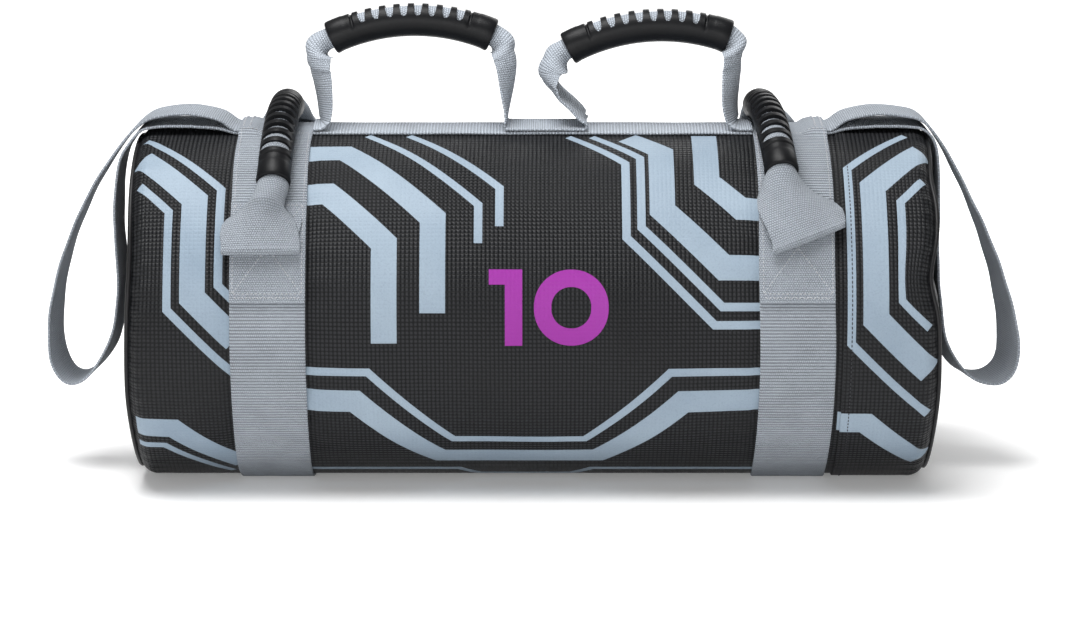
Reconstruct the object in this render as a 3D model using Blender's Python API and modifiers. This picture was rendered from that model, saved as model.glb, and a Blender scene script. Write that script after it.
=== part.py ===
"""Sandbag trainer: a stuffed bag lying on its side, with webbing bands, straps, end loops and grips.

Metres. X runs along the bag, -Y is its front, and +Z is up. The origin is on the floor, under the
middle of the bag. Angles round the bag are measured from its top towards its front.
"""

import math
from collections import namedtuple

import bmesh
import bpy
from mathutils import Matrix, Vector

# Clearances
SEAT_GAP = 0.0003
FILL_GAP = 0.0005
CUT_OVERRUN = 0.004
WELD_DISTANCE = 0.00001
SHARP_ANGLE = math.radians(35)

# Bag
BAG_RADIUS = 0.1210
SHELL_WALL = 0.0012
FLOOR_SAG = 0.0070
SAG_BLEND_SHARE = 0.02
FACETS = 48
# A start or stop this near to a facet's corner, as a share of a facet, takes the corner's place.
NEAR_CORNER_SHARE = 0.05
END_OVERHANG = 0.1028
DOME_RISE = 0.0080
CORNER_LENGTH = 0.0120
CORNER_DROP = 0.0140
SEAM_ANGLE = math.radians(60)
SEAM_HALF_OPENING = math.radians(9)
CORNER_STEPS = 3
DOME_SHARES = (0.75, 0.5, 0.25, 0)
PIPING_RADIUS = 0.0016
PIPING_PROUD = 0.0008
PIPING_SIDES = 6
CUFF_TO_BAND = 0.0055
CUFF_LAP = 0.0120
CORE_RADIUS = 0.0440

# Webbing
WEB_WIDTH = 0.0500
WEB_THICK = 0.0018
FOLD_RADIUS = 0.0016
FOLD_STEPS = 4

# Grips
GRIP_LENGTH = 0.1140
GRIP_RADIUS = 0.0112
COLLAR_RADIUS = 0.0116
GRIP_WALL = 0.0028
CORE_BEYOND = 0.0015
GRIP_TO_BAND = 0.0004
GRIP_SIDES = 20
SLOT_COUNT = 8
SLOT_PITCH = 0.0092
SLOT_WIDTH = 0.0052
SLOT_DEPTH = 0.0096
SLOT_ARC_STEPS = 4
GROOVE_WIDTH = 0.0010
GROOVE_DEPTH = 0.0009
GROOVE_FROM_SLOT = 0.0070
# Share of the grip's length from one end, and share of the way from its body to its collar.
GRIP_PROFILE_SHARES = ((0, 0.2), (0.012, 1), (0.14, 1), (0.2, 0), (0.34, 0), (0.5, 0))

# Handles on the top strip
CENTRE_TAB_LEFT = -0.0180
FOOT_RISE = 0.0160
FOOT_BEND = 0.0025
FOOT_TOP_HALF_WIDTH = 0.0055
FOOT_TOP_HALF_THICK = 0.0030
HINGE_ROUND = 0.0065
HINGE_TURNS = (math.radians(75), math.radians(45), 0)
FOOT_TURNS = (0, math.radians(45), math.radians(90))
FOOT_DRAPE_SHARE = 0.4
LEG_WAIST_HALF = 0.0055
LEG_STEPS = 2
LEG_CLEAR = 0.0055
# Share of the leg's chord from its foot, and share of it that the leg stands outside the chord.
TopHandle = namedtuple("TopHandle", "spread to_band rise shift tilt outer_shares inner_shares")
LEFT_HANDLE = TopHandle(
    spread=0.0155,
    to_band=0.0055,
    rise=0.0577,
    shift=-0.0017,
    tilt=math.radians(1),
    outer_shares=((0, 0), (0.24, 0.02), (0.47, 0.06), (0.67, 0.09), (0.87, 0.08)),
    inner_shares=((0, 0), (0.23, 0.05), (0.47, 0.10), (0.71, 0.13), (0.88, 0.10)),
)
RIGHT_HANDLE = TopHandle(
    spread=-0.0080,
    to_band=0.0110,
    rise=0.0536,
    shift=-0.0085,
    tilt=math.radians(4.3),
    outer_shares=((0, 0), (0.24, 0), (0.47, 0.05), (0.69, 0.10), (0.86, 0.09)),
    inner_shares=((0, 0), (0.06, 0), (0.27, 0.12), (0.53, 0.30), (0.76, 0.33), (0.90, 0.22)),
)

# Handles over the bands
PATCH_LENGTH = 0.0700
PATCH_ANGLE = math.radians(48)
TAIL_MARGIN = math.radians(2.5)
FOLD_ANGLE = math.radians(64.5)
GRIP_LOW_ANGLE = math.radians(43)
REAR_TAIL_ANGLE = math.radians(-49)
REAR_TAIL_LENGTH = 0.0380
REAR_LIFT = 0.0090
FLARE_HALF_WIDTH = 0.0262
BandHandle = namedtuple("BandHandle", "inboard fold_outboard fold_tilt")
LEFT_BAND_HANDLE = BandHandle(inboard=0.0030, fold_outboard=0.0030, fold_tilt=0)
RIGHT_BAND_HANDLE = BandHandle(inboard=0.0100, fold_outboard=0.0050, fold_tilt=math.radians(14))
# Share of the way from the grip to the sewn end, and share of the way to the full flare.
FRONT_FLARE_SHARES = ((0, 0), (0.15, 0.16), (0.4, 0.5), (0.7, 0.86), (1, 1))
REAR_FLARE_SHARES = ((0, 0), (0.1, 0.05), (0.25, 0.3), (0.45, 0.66), (0.7, 0.95), (0.88, 0.98), (1, 0.96))

# Loops at the ends
LOOP_TAIL_LENGTH = 0.0130
LOOP_FROM_BAND = 0.0030
LOOP_ARCH = 0.0070
LOOP_DROP = 0.1820
LOOP_TURN = 0.0960
LOOP_REACH = 0.0620
LOOP_DRAPE_RUN = 0.0300
EndLoop = namedtuple("EndLoop", "twist shares")
# First share: along the bag's top before the loop's turn (negative) or out past it (positive).
# Second share: above the hinge, of the arch (positive), or below it, of the drop (negative).
LEFT_LOOP = EndLoop(
    twist=math.radians(4),
    shares=(
        (-0.84, 0.45), (-0.56, 0.80), (-0.30, 0.66), (-0.09, 0.020), (0.14, -0.078), (0.43, -0.22),
        (0.64, -0.36), (0.83, -0.52), (0.95, -0.68), (0.985, -0.81), (0.96, -0.91), (0.86, -0.98),
        (0.72, -1), (0.56, -0.97), (0.38, -0.89), (0.26, -0.79), (0.21, -0.68), (0.185, -0.55),
        (0.18, -0.42), (0.161, -0.293), (0.137, -0.190), (0.110, -0.126), (0.062, -0.087),
        (0.009, -0.057), (-0.054, -0.034), (-0.127, -0.023), (-0.30, -0.016), (-0.56, -0.016),
        (-0.84, -0.016),
    ),
)
RIGHT_LOOP = EndLoop(
    twist=math.radians(10),
    shares=(
        (-0.84, 0.45), (-0.56, 0.80), (-0.28, 0.64), (-0.07, 0.020), (0.18, -0.088), (0.43, -0.22),
        (0.67, -0.38), (0.84, -0.58), (0.935, -0.75), (0.96, -0.88), (0.90, -0.96), (0.74, -1),
        (0.52, -1), (0.36, -0.95), (0.25, -0.86), (0.21, -0.74), (0.20, -0.60),
        (0.18, -0.45), (0.164, -0.293), (0.139, -0.188), (0.112, -0.124), (0.064, -0.085),
        (0.011, -0.055), (-0.054, -0.032), (-0.127, -0.021), (-0.30, -0.016), (-0.56, -0.016),
        (-0.84, -0.016),
    ),
)

# Radii of the layers, from the shell outwards
BAND_INNER = BAG_RADIUS + SEAT_GAP
BAND_OUTER = BAND_INNER + WEB_THICK
SECOND_INNER = BAND_OUTER + SEAT_GAP
SECOND_OUTER = SECOND_INNER + WEB_THICK
THIRD_INNER = SECOND_OUTER + SEAT_GAP
THIRD_OUTER = THIRD_INNER + WEB_THICK
CUFF_OUTER = BAND_INNER + SHELL_WALL
SECOND_MIDDLE = SECOND_INNER + WEB_THICK / 2
THIRD_MIDDLE = THIRD_INNER + WEB_THICK / 2
AXIS_HEIGHT = BAND_OUTER - FLOOR_SAG

# Places along the bag
CORE_HALF = GRIP_RADIUS - GRIP_WALL - SEAT_GAP
GRIP_BEND = BAND_OUTER + GRIP_TO_BAND + COLLAR_RADIUS
GRIP_HALF_ANGLE = GRIP_LENGTH / GRIP_BEND / 2
GRIP_CHORD = 2 * GRIP_BEND * math.sin(GRIP_HALF_ANGLE)
WEB_HALF = WEB_WIDTH / 2
BAND_X = -CENTRE_TAB_LEFT + GRIP_CHORD + LEFT_HANDLE.spread + LEFT_HANDLE.to_band + WEB_HALF
BAND_EDGE = BAND_X - WEB_HALF
HALF_LENGTH = BAND_X + END_OVERHANG
HINGE_HEIGHT = AXIS_HEIGHT + SECOND_OUTER + FOOT_RISE + SEAT_GAP + HINGE_ROUND
LOOP_HINGE_X = BAND_X + WEB_HALF + LOOP_FROM_BAND
LOOP_HINGE_HEIGHT = AXIS_HEIGHT + THIRD_OUTER

FACET_ANGLE = 2 * math.pi / FACETS
MOST_FACET_SHARE = 0.9
FACET_SHARE = min(BAG_RADIUS * math.sin(FACET_ANGLE) / WEB_HALF, MOST_FACET_SHARE)
DECAGON_TURN = math.pi / 5

# Colour, roughness and metallic value of each finish
FINISHES = {
    "coated_fabric": ((0.022, 0.022, 0.024, 1), 0.48, 0),
    "piping": ((0.018, 0.018, 0.019, 1), 0.5, 0),
    "webbing": ((0.42, 0.42, 0.45, 1), 0.85, 0),
    "grip_rubber": ((0.017, 0.017, 0.018, 1), 0.42, 0),
    "filling": ((0.55, 0.52, 0.47, 1), 0.95, 0),
    "sand_liner": ((0.60, 0.53, 0.40, 1), 0.6, 0),
}

Station = namedtuple("Station", "centre across normal half_width half_thick roundness drape")


def clear_scene():
    """Removes whatever the scene holds."""
    for obj in list(bpy.data.objects):
        bpy.data.objects.remove(obj, do_unlink=True)


def new_collection(name, helper=False):
    """A collection in the scene; a helper one is left out of renders."""
    found = bpy.data.collections.new(name)
    bpy.context.scene.collection.children.link(found)
    found.hide_render = helper
    return found


def finish(name):
    """The material of one finish, made once."""
    if name in bpy.data.materials:
        return bpy.data.materials[name]
    colour, roughness, metallic = FINISHES[name]
    made = bpy.data.materials.new(name)
    made.use_nodes = True
    shader = made.node_tree.nodes["Principled BSDF"]
    shader.inputs["Base Color"].default_value = colour
    shader.inputs["Roughness"].default_value = roughness
    shader.inputs["Metallic"].default_value = metallic
    made.diffuse_color = colour
    return made


def add_object(name, mesh, collection, material=None):
    """An object for this mesh, in this collection."""
    obj = bpy.data.objects.new(name, mesh)
    collection.objects.link(obj)
    if material:
        mesh.materials.append(finish(material))
    return obj


def close_up(cage, mesh):
    """Welds the cage, turns its faces outwards, writes it to the mesh and shades it smooth."""
    bmesh.ops.remove_doubles(cage, verts=cage.verts, dist=WELD_DISTANCE)
    bmesh.ops.recalc_face_normals(cage, faces=cage.faces)
    cage.to_mesh(mesh)
    cage.free()
    mesh.shade_smooth()
    mesh.set_sharp_from_angle(angle=SHARP_ANGLE)


def bake_shape(obj, move=None):
    """Turns the object into the mesh that its curve or modifiers make, with its points moved."""
    bpy.context.view_layer.update()
    seen = obj.evaluated_get(bpy.context.evaluated_depsgraph_get())
    mesh = bpy.data.meshes.new_from_object(seen)
    mesh.name = obj.name
    cage = bmesh.new()
    cage.from_mesh(mesh)
    if move:
        for vertex in cage.verts:
            vertex.co = move(vertex.co)
    close_up(cage, mesh)
    name, matrix, collection = obj.name, obj.matrix_world.copy(), obj.users_collection[0]
    bpy.data.objects.remove(obj, do_unlink=True)
    made = add_object(name, mesh, collection)
    made.name = name
    made.matrix_world = matrix
    return made


def smooth_least(first, second, blend):
    """The lesser of two values, with the corner between them rounded over the blend."""
    near = max(blend - abs(first - second), 0) / blend
    return min(first, second) - near * near * blend / 4


def settled(point):
    """A point given round the bag's axis, as it lies when the filling has settled on the floor.

    Each ray from the axis is shortened so that the outermost circle meets the floor in a flat.
    """
    radius = math.hypot(point.y, point.z)
    down = -point.z / radius if radius else 0
    share = 1
    if down > 0:
        share = smooth_least(AXIS_HEIGHT / (BAND_OUTER * down), 1, SAG_BLEND_SHARE)
    return Vector((point.x, point.y * share, AXIS_HEIGHT + point.z * share))


def round_bag(radius, angle):
    """The point at this angle on the settled circle of this radius, as (y, z)."""
    point = settled(Vector((0, -radius * math.sin(angle), radius * math.cos(angle))))
    return point.y, point.z


def facet_angles(start, stop):
    """The start, the shell's facet corners between, and the stop."""
    first = math.ceil(start / FACET_ANGLE + NEAR_CORNER_SHARE)
    last = math.floor(stop / FACET_ANGLE - NEAR_CORNER_SHARE)
    return [start] + [step * FACET_ANGLE for step in range(first, last + 1)] + [stop]


def turned(name, profile, material):
    """A closed profile of (x, radius) turned round the bag's axis and settled on the floor.

    A side of the profile that lies on the axis itself is left out.
    """
    mesh = bpy.data.meshes.new(name)
    sides = [(i, (i + 1) % len(profile)) for i in range(len(profile))]
    edges = [(i, j) for i, j in sides if profile[i][1] or profile[j][1]]
    mesh.from_pydata([(x, 0, radius) for x, radius in profile], edges, [])
    obj = add_object(name, mesh, parts, material)
    screw = obj.modifiers.new("Turn", "SCREW")
    screw.axis = "X"
    screw.steps = screw.render_steps = FACETS
    screw.use_merge_vertices = True
    screw.merge_threshold = WELD_DISTANCE
    return bake_shape(obj, settled)


def girth_strip(name, outlines, width, x, material="webbing"):
    """A strip that runs round the bag: outlines of (y, z) extruded along X."""
    curve = bpy.data.curves.new(name, "CURVE")
    curve.dimensions = "2D"
    curve.fill_mode = "BOTH"
    curve.extrude = width / 2
    for outline in outlines:
        spline = curve.splines.new("POLY")
        spline.points.add(len(outline) - 1)
        for point, (y, z) in zip(spline.points, outline):
            point.co = (y, z, 0, 1)
        spline.use_cyclic_u = True
    obj = bpy.data.objects.new(name, curve)
    parts.objects.link(obj)
    curve.materials.append(finish(material))
    obj.rotation_euler = (math.pi / 2, 0, math.pi / 2)
    obj.location.x = x
    return bake_shape(obj)


def arc_outline(inner, outer, start, stop):
    """The closed outline of a layer between two radii and two angles."""
    angles = facet_angles(start, stop)
    return [round_bag(outer, a) for a in angles] + [round_bag(inner, a) for a in reversed(angles)]


def offset_inwards(profile, distance):
    """A profile of (x, radius), moved to its right-hand side as it is walked."""
    moved = []
    for i, (x, radius) in enumerate(profile):
        x_0, r_0 = profile[max(i - 1, 0)]
        x_1, r_1 = profile[min(i + 1, len(profile) - 1)]
        run = math.hypot(x_1 - x_0, r_1 - r_0)
        moved.append((x - (r_0 - r_1) / run * distance, max(radius - (x_1 - x_0) / run * distance, 0)))
    return moved


def corner_point(radius, angle):
    """The bag's rounded end corner: a quarter ellipse from the tube (0) to the end's face (90)."""
    x = HALF_LENGTH - DOME_RISE - CORNER_LENGTH * (1 - math.sin(angle))
    return x, radius - CORNER_DROP * (1 - math.cos(angle))


def corner_run(radius, start, stop):
    """Points along the end corner between two angles."""
    step = (stop - start) / CORNER_STEPS
    return [corner_point(radius, start + i * step) for i in range(CORNER_STEPS + 1)]


def dome_run(radius, shares=DOME_SHARES):
    """Points of the domed end face, from near its rim to its middle."""
    rim = radius - CORNER_DROP
    return [(HALF_LENGTH - DOME_RISE * share**2, rim * share) for share in shares]


def walled(outer, wall):
    """The closed profile of a wall whose outer side is given."""
    return outer + offset_inwards(outer, wall)[::-1]


def mirrored(profile):
    """The same profile at the bag's other end, walked the same way round."""
    return [(-x, radius) for x, radius in reversed(profile)]


def make_shell():
    """The main tube, the cuff lapped over it, the two domed end panels and their piping."""
    seam_start = SEAM_ANGLE - SEAM_HALF_OPENING
    left_corner = mirrored(corner_run(BAG_RADIUS, 0, seam_start))
    cuff_start = BAND_X + WEB_HALF + CUFF_TO_BAND
    tube = left_corner + [(cuff_start + CUFF_LAP, BAG_RADIUS)]
    turned("shell_main", walled(tube, SHELL_WALL), "coated_fabric")
    cuff = [(cuff_start, CUFF_OUTER)] + corner_run(CUFF_OUTER, 0, seam_start)
    turned("shell_cuff", walled(cuff, SHELL_WALL), "coated_fabric")
    for side, radius, place in (("left", BAG_RADIUS, mirrored), ("right", CUFF_OUTER, list)):
        face = corner_run(radius, SEAM_ANGLE + SEAM_HALF_OPENING, math.pi / 2) + dome_run(radius)
        closed = face + offset_inwards(face, SHELL_WALL)[::-1]
        turned(f"end_disc_{side}", place(closed), "coated_fabric")
        x, middle = corner_point(radius, SEAM_ANGLE)
        middle += PIPING_PROUD * math.cos(SEAM_ANGLE)
        x += PIPING_PROUD * math.sin(SEAM_ANGLE)
        turns = [2 * math.pi * i / PIPING_SIDES for i in range(PIPING_SIDES)]
        ring = [(x + PIPING_RADIUS * math.cos(a), middle + PIPING_RADIUS * math.sin(a)) for a in turns]
        turned(f"end_piping_{side}", place(ring), "piping")


def make_filling():
    """The packed textile roll, with the sand liner in its middle."""
    rim = BAG_RADIUS - CORNER_DROP
    bore = CORE_RADIUS + SEAT_GAP
    half = corner_run(BAG_RADIUS, 0, math.pi / 2) + dome_run(BAG_RADIUS, (bore / rim,))
    outer = offset_inwards(mirrored(half) + half, SHELL_WALL + FILL_GAP)
    end = outer[-1][0]
    outer[0], outer[-1] = (-end, bore), (end, bore)
    turned("filler_roll", outer, "filling")
    core = [(-end, 0), (-end, CORE_RADIUS), (end, CORE_RADIUS), (end, 0)]
    turned("sand_core", core, "sand_liner")


def make_bands():
    """The two girth bands, the top strip between them and the patches sewn over the bands."""
    turns = [i * FACET_ANGLE for i in range(FACETS)]
    for side, x in (("left", -BAND_X), ("right", BAND_X)):
        rings = [[round_bag(radius, a) for a in turns] for radius in (BAND_OUTER, BAND_INNER)]
        girth_strip(f"band_{side}", rings, WEB_WIDTH, x)
        reach = PATCH_LENGTH / SECOND_OUTER
        front = arc_outline(SECOND_INNER, SECOND_OUTER, PATCH_ANGLE, PATCH_ANGLE + reach)
        back = arc_outline(SECOND_INNER, SECOND_OUTER, -PATCH_ANGLE - reach, -PATCH_ANGLE)
        girth_strip(f"patch_{side}_front", [front], WEB_WIDTH, x)
        girth_strip(f"patch_{side}_back", [back], WEB_WIDTH, x)
    half_angle = math.asin(WEB_HALF / BAND_OUTER)
    strip = arc_outline(BAND_INNER, BAND_OUTER, -half_angle, half_angle)
    girth_strip("top_strip", [strip], 2 * (BAND_EDGE - SEAT_GAP), 0)


def section(station):
    """Ten points round a strap: a flat rectangle, or a round one where its roundness is 1.

    Where the strap is draped, it drops to each side as the bag's round top does.
    """
    across_shares = (1, FACET_SHARE, 0, -FACET_SHARE, -1)
    flat = [(u, 1) for u in across_shares] + [(u, -1) for u in reversed(across_shares)]
    points = []
    for i, (u, v) in enumerate(flat):
        turn = DECAGON_TURN * (i + 0.5)
        u += (math.cos(turn) - u) * station.roundness
        v += (math.sin(turn) - v) * station.roundness
        point = station.centre + station.across * (u * station.half_width)
        point += station.normal * (v * station.half_thick)
        if station.drape:
            point.z -= station.drape * (BAND_OUTER - math.sqrt(BAND_OUTER**2 - point.y**2))
        points.append(point)
    return points


def loft(name, rings, material, collection):
    """A closed skin over rings of equally many points, capped at both ends."""
    cage = bmesh.new()
    rows = [[cage.verts.new(point) for point in ring] for ring in rings]
    count = len(rows[0])
    for near, far in zip(rows, rows[1:]):
        for i in range(count):
            j = (i + 1) % count
            cage.faces.new((near[i], near[j], far[j], far[i]))
    cage.faces.new(rows[0])
    cage.faces.new(rows[-1])
    mesh = bpy.data.meshes.new(name)
    close_up(cage, mesh)
    return add_object(name, mesh, collection, material)


def strap(name, stations):
    """A webbing strap through these stations."""
    return loft(name, [section(s) for s in stations], "webbing", parts)


def curve_through(knots, steps):
    """Points on a smooth curve through the knots, with so many steps between two knots."""
    points = []
    for i in range(len(knots) - 1):
        near, far = knots[i], knots[i + 1]
        before, after = knots[max(i - 1, 0)], knots[min(i + 2, len(knots) - 1)]
        leave, arrive = (far - before) / 2, (after - near) / 2
        for k in range(steps):
            t = k / steps
            points.append(
                near * (2 * t**3 - 3 * t**2 + 1)
                + leave * (t**3 - 2 * t**2 + t)
                + far * (3 * t**2 - 2 * t**3)
                + arrive * (t**3 - t**2)
            )
    return points + [knots[-1]]


def normals_along(points):
    """At each point of a path in an XZ plane, the direction to the left of its run."""
    found = []
    for i in range(len(points)):
        run = points[min(i + 1, len(points) - 1)] - points[max(i - 1, 0)]
        found.append(Vector((-run.z, 0, run.x)).normalized())
    return found


def share_between(pairs, at):
    """Reads a table of (place, value) shares at one place."""
    for (a, low), (b, high) in zip(pairs, pairs[1:]):
        if at <= b:
            return low + (high - low) * (at - a) / (b - a)
    return pairs[-1][1]


def eased(share):
    """A share that starts and ends level."""
    return share * share * (3 - 2 * share)


ALONG_Y = Vector((0, 1, 0))


def grip_point(angle, radius=None):
    """A point of the grip's arc in its own frame, whose origin is the arc's centre."""
    radius = GRIP_BEND if radius is None else radius
    return Vector((radius * math.sin(angle), 0, radius * math.cos(angle)))


def grip_rings(sides, radii_at, overrun=0):
    """Rings round the grip's arc, from its low end to its high end along X."""
    half = [share for share, _ in GRIP_PROFILE_SHARES]
    places = half + [1 - share for share in reversed(half[:-1])]
    rings = []
    for place in places:
        angle = (2 * place - 1) * (GRIP_HALF_ANGLE + overrun / GRIP_BEND)
        out = grip_point(angle, 1)
        radius = radii_at(min(place, 1 - place))
        turns = [2 * math.pi * (i + 0.5) / sides for i in range(sides)]
        rings.append([
            grip_point(angle) + ALONG_Y * (radius * math.cos(t)) + out * (radius * math.sin(t))
            for t in turns
        ])
    return rings


def core_ring(angle):
    """The strap's station inside the grip, at this angle of the grip's arc."""
    return Station(grip_point(angle), ALONG_Y, grip_point(angle, 1), CORE_HALF, CORE_HALF, 1, 0)


def grip_stations():
    """The strap's stations through the grip, at the places where the bore has its rings."""
    half = [share for share, _ in GRIP_PROFILE_SHARES]
    places = half + [1 - share for share in reversed(half[:-1])]
    angles = [(2 * place - 1) * GRIP_HALF_ANGLE for place in places]
    beyond = GRIP_HALF_ANGLE + CORE_BEYOND / GRIP_BEND
    return [core_ring(angle) for angle in [-beyond] + angles + [beyond]]


def slot_outline(width, depth):
    """Half a slot's depth outline: straight sides and a round bottom, as (along, out)."""
    floor = GRIP_RADIUS - depth + width / 2
    top = COLLAR_RADIUS + CUT_OVERRUN
    turns = [math.pi * i / SLOT_ARC_STEPS for i in range(SLOT_ARC_STEPS + 1)]
    bottom = [(-width / 2 * math.cos(t), floor - width / 2 * math.sin(t)) for t in turns]
    return [(-width / 2, top)] + bottom + [(width / 2, top)]


def cut_slot(grip_object, name, angle, width, depth, reach):
    """Cuts one slot across the grip, square to its arc at this angle."""
    along = Vector((math.cos(angle), 0, -math.sin(angle)))
    out = grip_point(angle, 1)
    outline = slot_outline(width, depth)
    rings = [
        [grip_point(angle) + along * a + out * b + ALONG_Y * side * reach for a, b in outline]
        for side in (-1, 1)
    ]
    cutter = loft(name, rings, None, cutters)
    add_cut(grip_object, cutter)


def add_cut(obj, cutter):
    """A Boolean that takes the cutter from the object, in the object's own place."""
    cutter.hide_render = True
    cutter.display_type = "WIRE"
    cut = obj.modifiers.new("Cut " + cutter.name, "BOOLEAN")
    cut.object = cutter
    cut.operation = "DIFFERENCE"


def make_grip(name, matrix):
    """A ribbed rubber grip: a bent tube with collars, slots through to its bore, and grooves."""
    body_shares = GRIP_PROFILE_SHARES

    def outer_radius(place):
        return GRIP_RADIUS + (COLLAR_RADIUS - GRIP_RADIUS) * share_between(body_shares, place)

    obj = loft(name, grip_rings(GRIP_SIDES, outer_radius), "grip_rubber", parts)
    bore_rings = grip_rings(10, lambda place: CORE_HALF + SEAT_GAP, CUT_OVERRUN)
    add_cut(obj, loft(name + "_bore", bore_rings, None, cutters))
    reach = COLLAR_RADIUS + CUT_OVERRUN
    for i in range(SLOT_COUNT):
        angle = (i - (SLOT_COUNT - 1) / 2) * SLOT_PITCH / GRIP_BEND
        cut_slot(obj, f"{name}_slot_{i + 1}", angle, SLOT_WIDTH, SLOT_DEPTH, reach)
    for side in (-1, 1):
        angle = side * ((SLOT_COUNT - 1) / 2 * SLOT_PITCH + GROOVE_FROM_SLOT) / GRIP_BEND
        cut_slot(obj, f"{name}_groove_{side + 2}", angle, GROOVE_WIDTH, GROOVE_DEPTH, reach)
    made = bake_shape(obj)
    made.matrix_world = matrix
    return made


def carried(pieces, name, place):
    """Parents the pieces to an empty on their joint's axis, and leaves them where they are."""
    pivot = bpy.data.objects.new(name, None)
    parts.objects.link(pivot)
    pivot.location = place
    bpy.context.view_layer.update()
    for piece in pieces:
        piece.parent = pivot
        piece.matrix_parent_inverse = pivot.matrix_world.inverted()


def leg_path(foot, end, shares, outside):
    """A leg's centre line from its foot on the strip to the grip's end, bowed to its outside."""
    chord = end - foot
    side = Vector((chord.z, 0, -chord.x)) * outside
    knots = [foot + chord * along + side * out for along, out in shares] + [end]
    return curve_through(knots, LEG_STEPS)


def at_height(path, height):
    """The point where a rising path passes this height."""
    for near, far in zip(path, path[1:]):
        if far.z >= height:
            return near.lerp(far, (height - near.z) / (far.z - near.z))
    return path[-1]


def leg_stations(path, toward):
    """The strap's stations from its rounded hinge end up a leg to the grip's end."""
    hinge = at_height(path, HINGE_HEIGHT)
    flat = Vector((-toward, 0, 0))
    made = []
    for turn in HINGE_TURNS:
        down = HINGE_ROUND * math.sin(turn)
        width = HINGE_ROUND * math.cos(turn)
        centre = Vector((hinge.x, 0, HINGE_HEIGHT - down))
        made.append(Station(centre, ALONG_Y, flat, width, FOOT_TOP_HALF_THICK, 0, 0))
    above = [
        (point, normal) for point, normal in zip(path, normals_along(path))
        if point.z > HINGE_HEIGHT + HINGE_ROUND / 2 and (path[-1] - point).length > LEG_CLEAR
    ]
    for i, (point, normal) in enumerate(above):
        share = (i + 1) / (len(above) + 1)
        width = HINGE_ROUND + (CORE_HALF - HINGE_ROUND) * eased(share)
        thick = LEG_WAIST_HALF + (CORE_HALF - LEG_WAIST_HALF) * share
        made.append(Station(point, ALONG_Y, normal * toward, width, thick, eased(share), 0))
    return made


def foot_stations(path, toward, flat_end):
    """The sewn foot of a leg: from its narrow top down, round its bend and flat along the strip."""
    foot = path[0]
    top_height = HINGE_HEIGHT - HINGE_ROUND - SEAT_GAP
    top = Vector((at_height(path, HINGE_HEIGHT).x, 0, top_height))
    level = AXIS_HEIGHT + SECOND_MIDDLE
    bend_top = level + FOOT_BEND
    flat = Vector((toward, 0, 0))
    made = [Station(top, ALONG_Y, flat, FOOT_TOP_HALF_WIDTH, FOOT_TOP_HALF_THICK, 0, 0)]
    middle = (top + Vector((foot.x, 0, bend_top))) / 2
    half_width = (FOOT_TOP_HALF_WIDTH + WEB_HALF) / 2
    half_thick = (FOOT_TOP_HALF_THICK + WEB_THICK / 2) / 2
    made.append(Station(middle, ALONG_Y, flat, half_width, half_thick, 0, FOOT_DRAPE_SHARE))
    for lean in FOOT_TURNS:
        x = foot.x + toward * FOOT_BEND * (1 - math.cos(lean))
        centre = Vector((x, 0, bend_top - FOOT_BEND * math.sin(lean)))
        normal = Vector((toward * math.cos(lean), 0, math.sin(lean)))
        made.append(Station(centre, ALONG_Y, normal, WEB_HALF, WEB_THICK / 2, 0, 1))
    end = Vector((flat_end, 0, level))
    made.append(Station(end, ALONG_Y, Vector((0, 0, 1)), WEB_HALF, WEB_THICK / 2, 0, 1))
    return made


def make_top_handle(side, handle, outer_sign):
    """One upright handle: its grip, its strap through the grip, and where its feet stand."""
    span = GRIP_CHORD + handle.spread
    outer_x = outer_sign * (BAND_EDGE - handle.to_band)
    inner_x = outer_x - outer_sign * span
    foot_height = AXIS_HEIGHT + SECOND_MIDDLE
    middle_x = (outer_x + inner_x) / 2 + handle.shift
    middle = Vector((middle_x, 0, AXIS_HEIGHT + SECOND_OUTER + handle.rise))
    centre_below = GRIP_BEND * math.cos(GRIP_HALF_ANGLE)
    matrix = Matrix.Translation(middle) @ Matrix.Rotation(-handle.tilt, 4, "Y")
    matrix = matrix @ Matrix.Translation(Vector((0, 0, -centre_below)))
    grip_object = make_grip(f"top_grip_{side}", matrix)
    low_x = min(outer_x, inner_x)
    paths = {}
    for toward, shares in (
        (1, handle.outer_shares if low_x == outer_x else handle.inner_shares),
        (-1, handle.inner_shares if low_x == outer_x else handle.outer_shares),
    ):
        foot_x = low_x if toward > 0 else max(outer_x, inner_x)
        end = matrix @ grip_point(-toward * GRIP_HALF_ANGLE)
        paths[toward] = leg_path(Vector((foot_x, 0, foot_height)), end, shares, -toward)
    turn = matrix.to_3x3()
    through = [
        s._replace(centre=matrix @ s.centre, normal=turn @ s.normal) for s in grip_stations()
    ]
    rising = leg_stations(paths[1], 1)
    falling = leg_stations(paths[-1], -1)
    strap_object = strap(f"top_strap_{side}", rising + through + falling[::-1])
    carried([grip_object, strap_object], f"top_handle_{side}_pivot", (middle.x, 0, HINGE_HEIGHT))
    return paths


def make_top_handles():
    """Both upright handles, the tab that joins them and the tabs beside the bands."""
    left = make_top_handle("left", LEFT_HANDLE, -1)
    right = make_top_handle("right", RIGHT_HANDLE, 1)
    middle = (left[-1][0].x + right[1][0].x) / 2
    first = foot_stations(left[-1], 1, middle)
    second = foot_stations(right[1], -1, middle)[:-1]
    strap("centre_tab", first + second[::-1])
    strap("outer_tab_left", foot_stations(left[1], -1, -BAND_EDGE + SEAT_GAP))
    strap("outer_tab_right", foot_stations(right[-1], 1, BAND_EDGE - SEAT_GAP))


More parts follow.
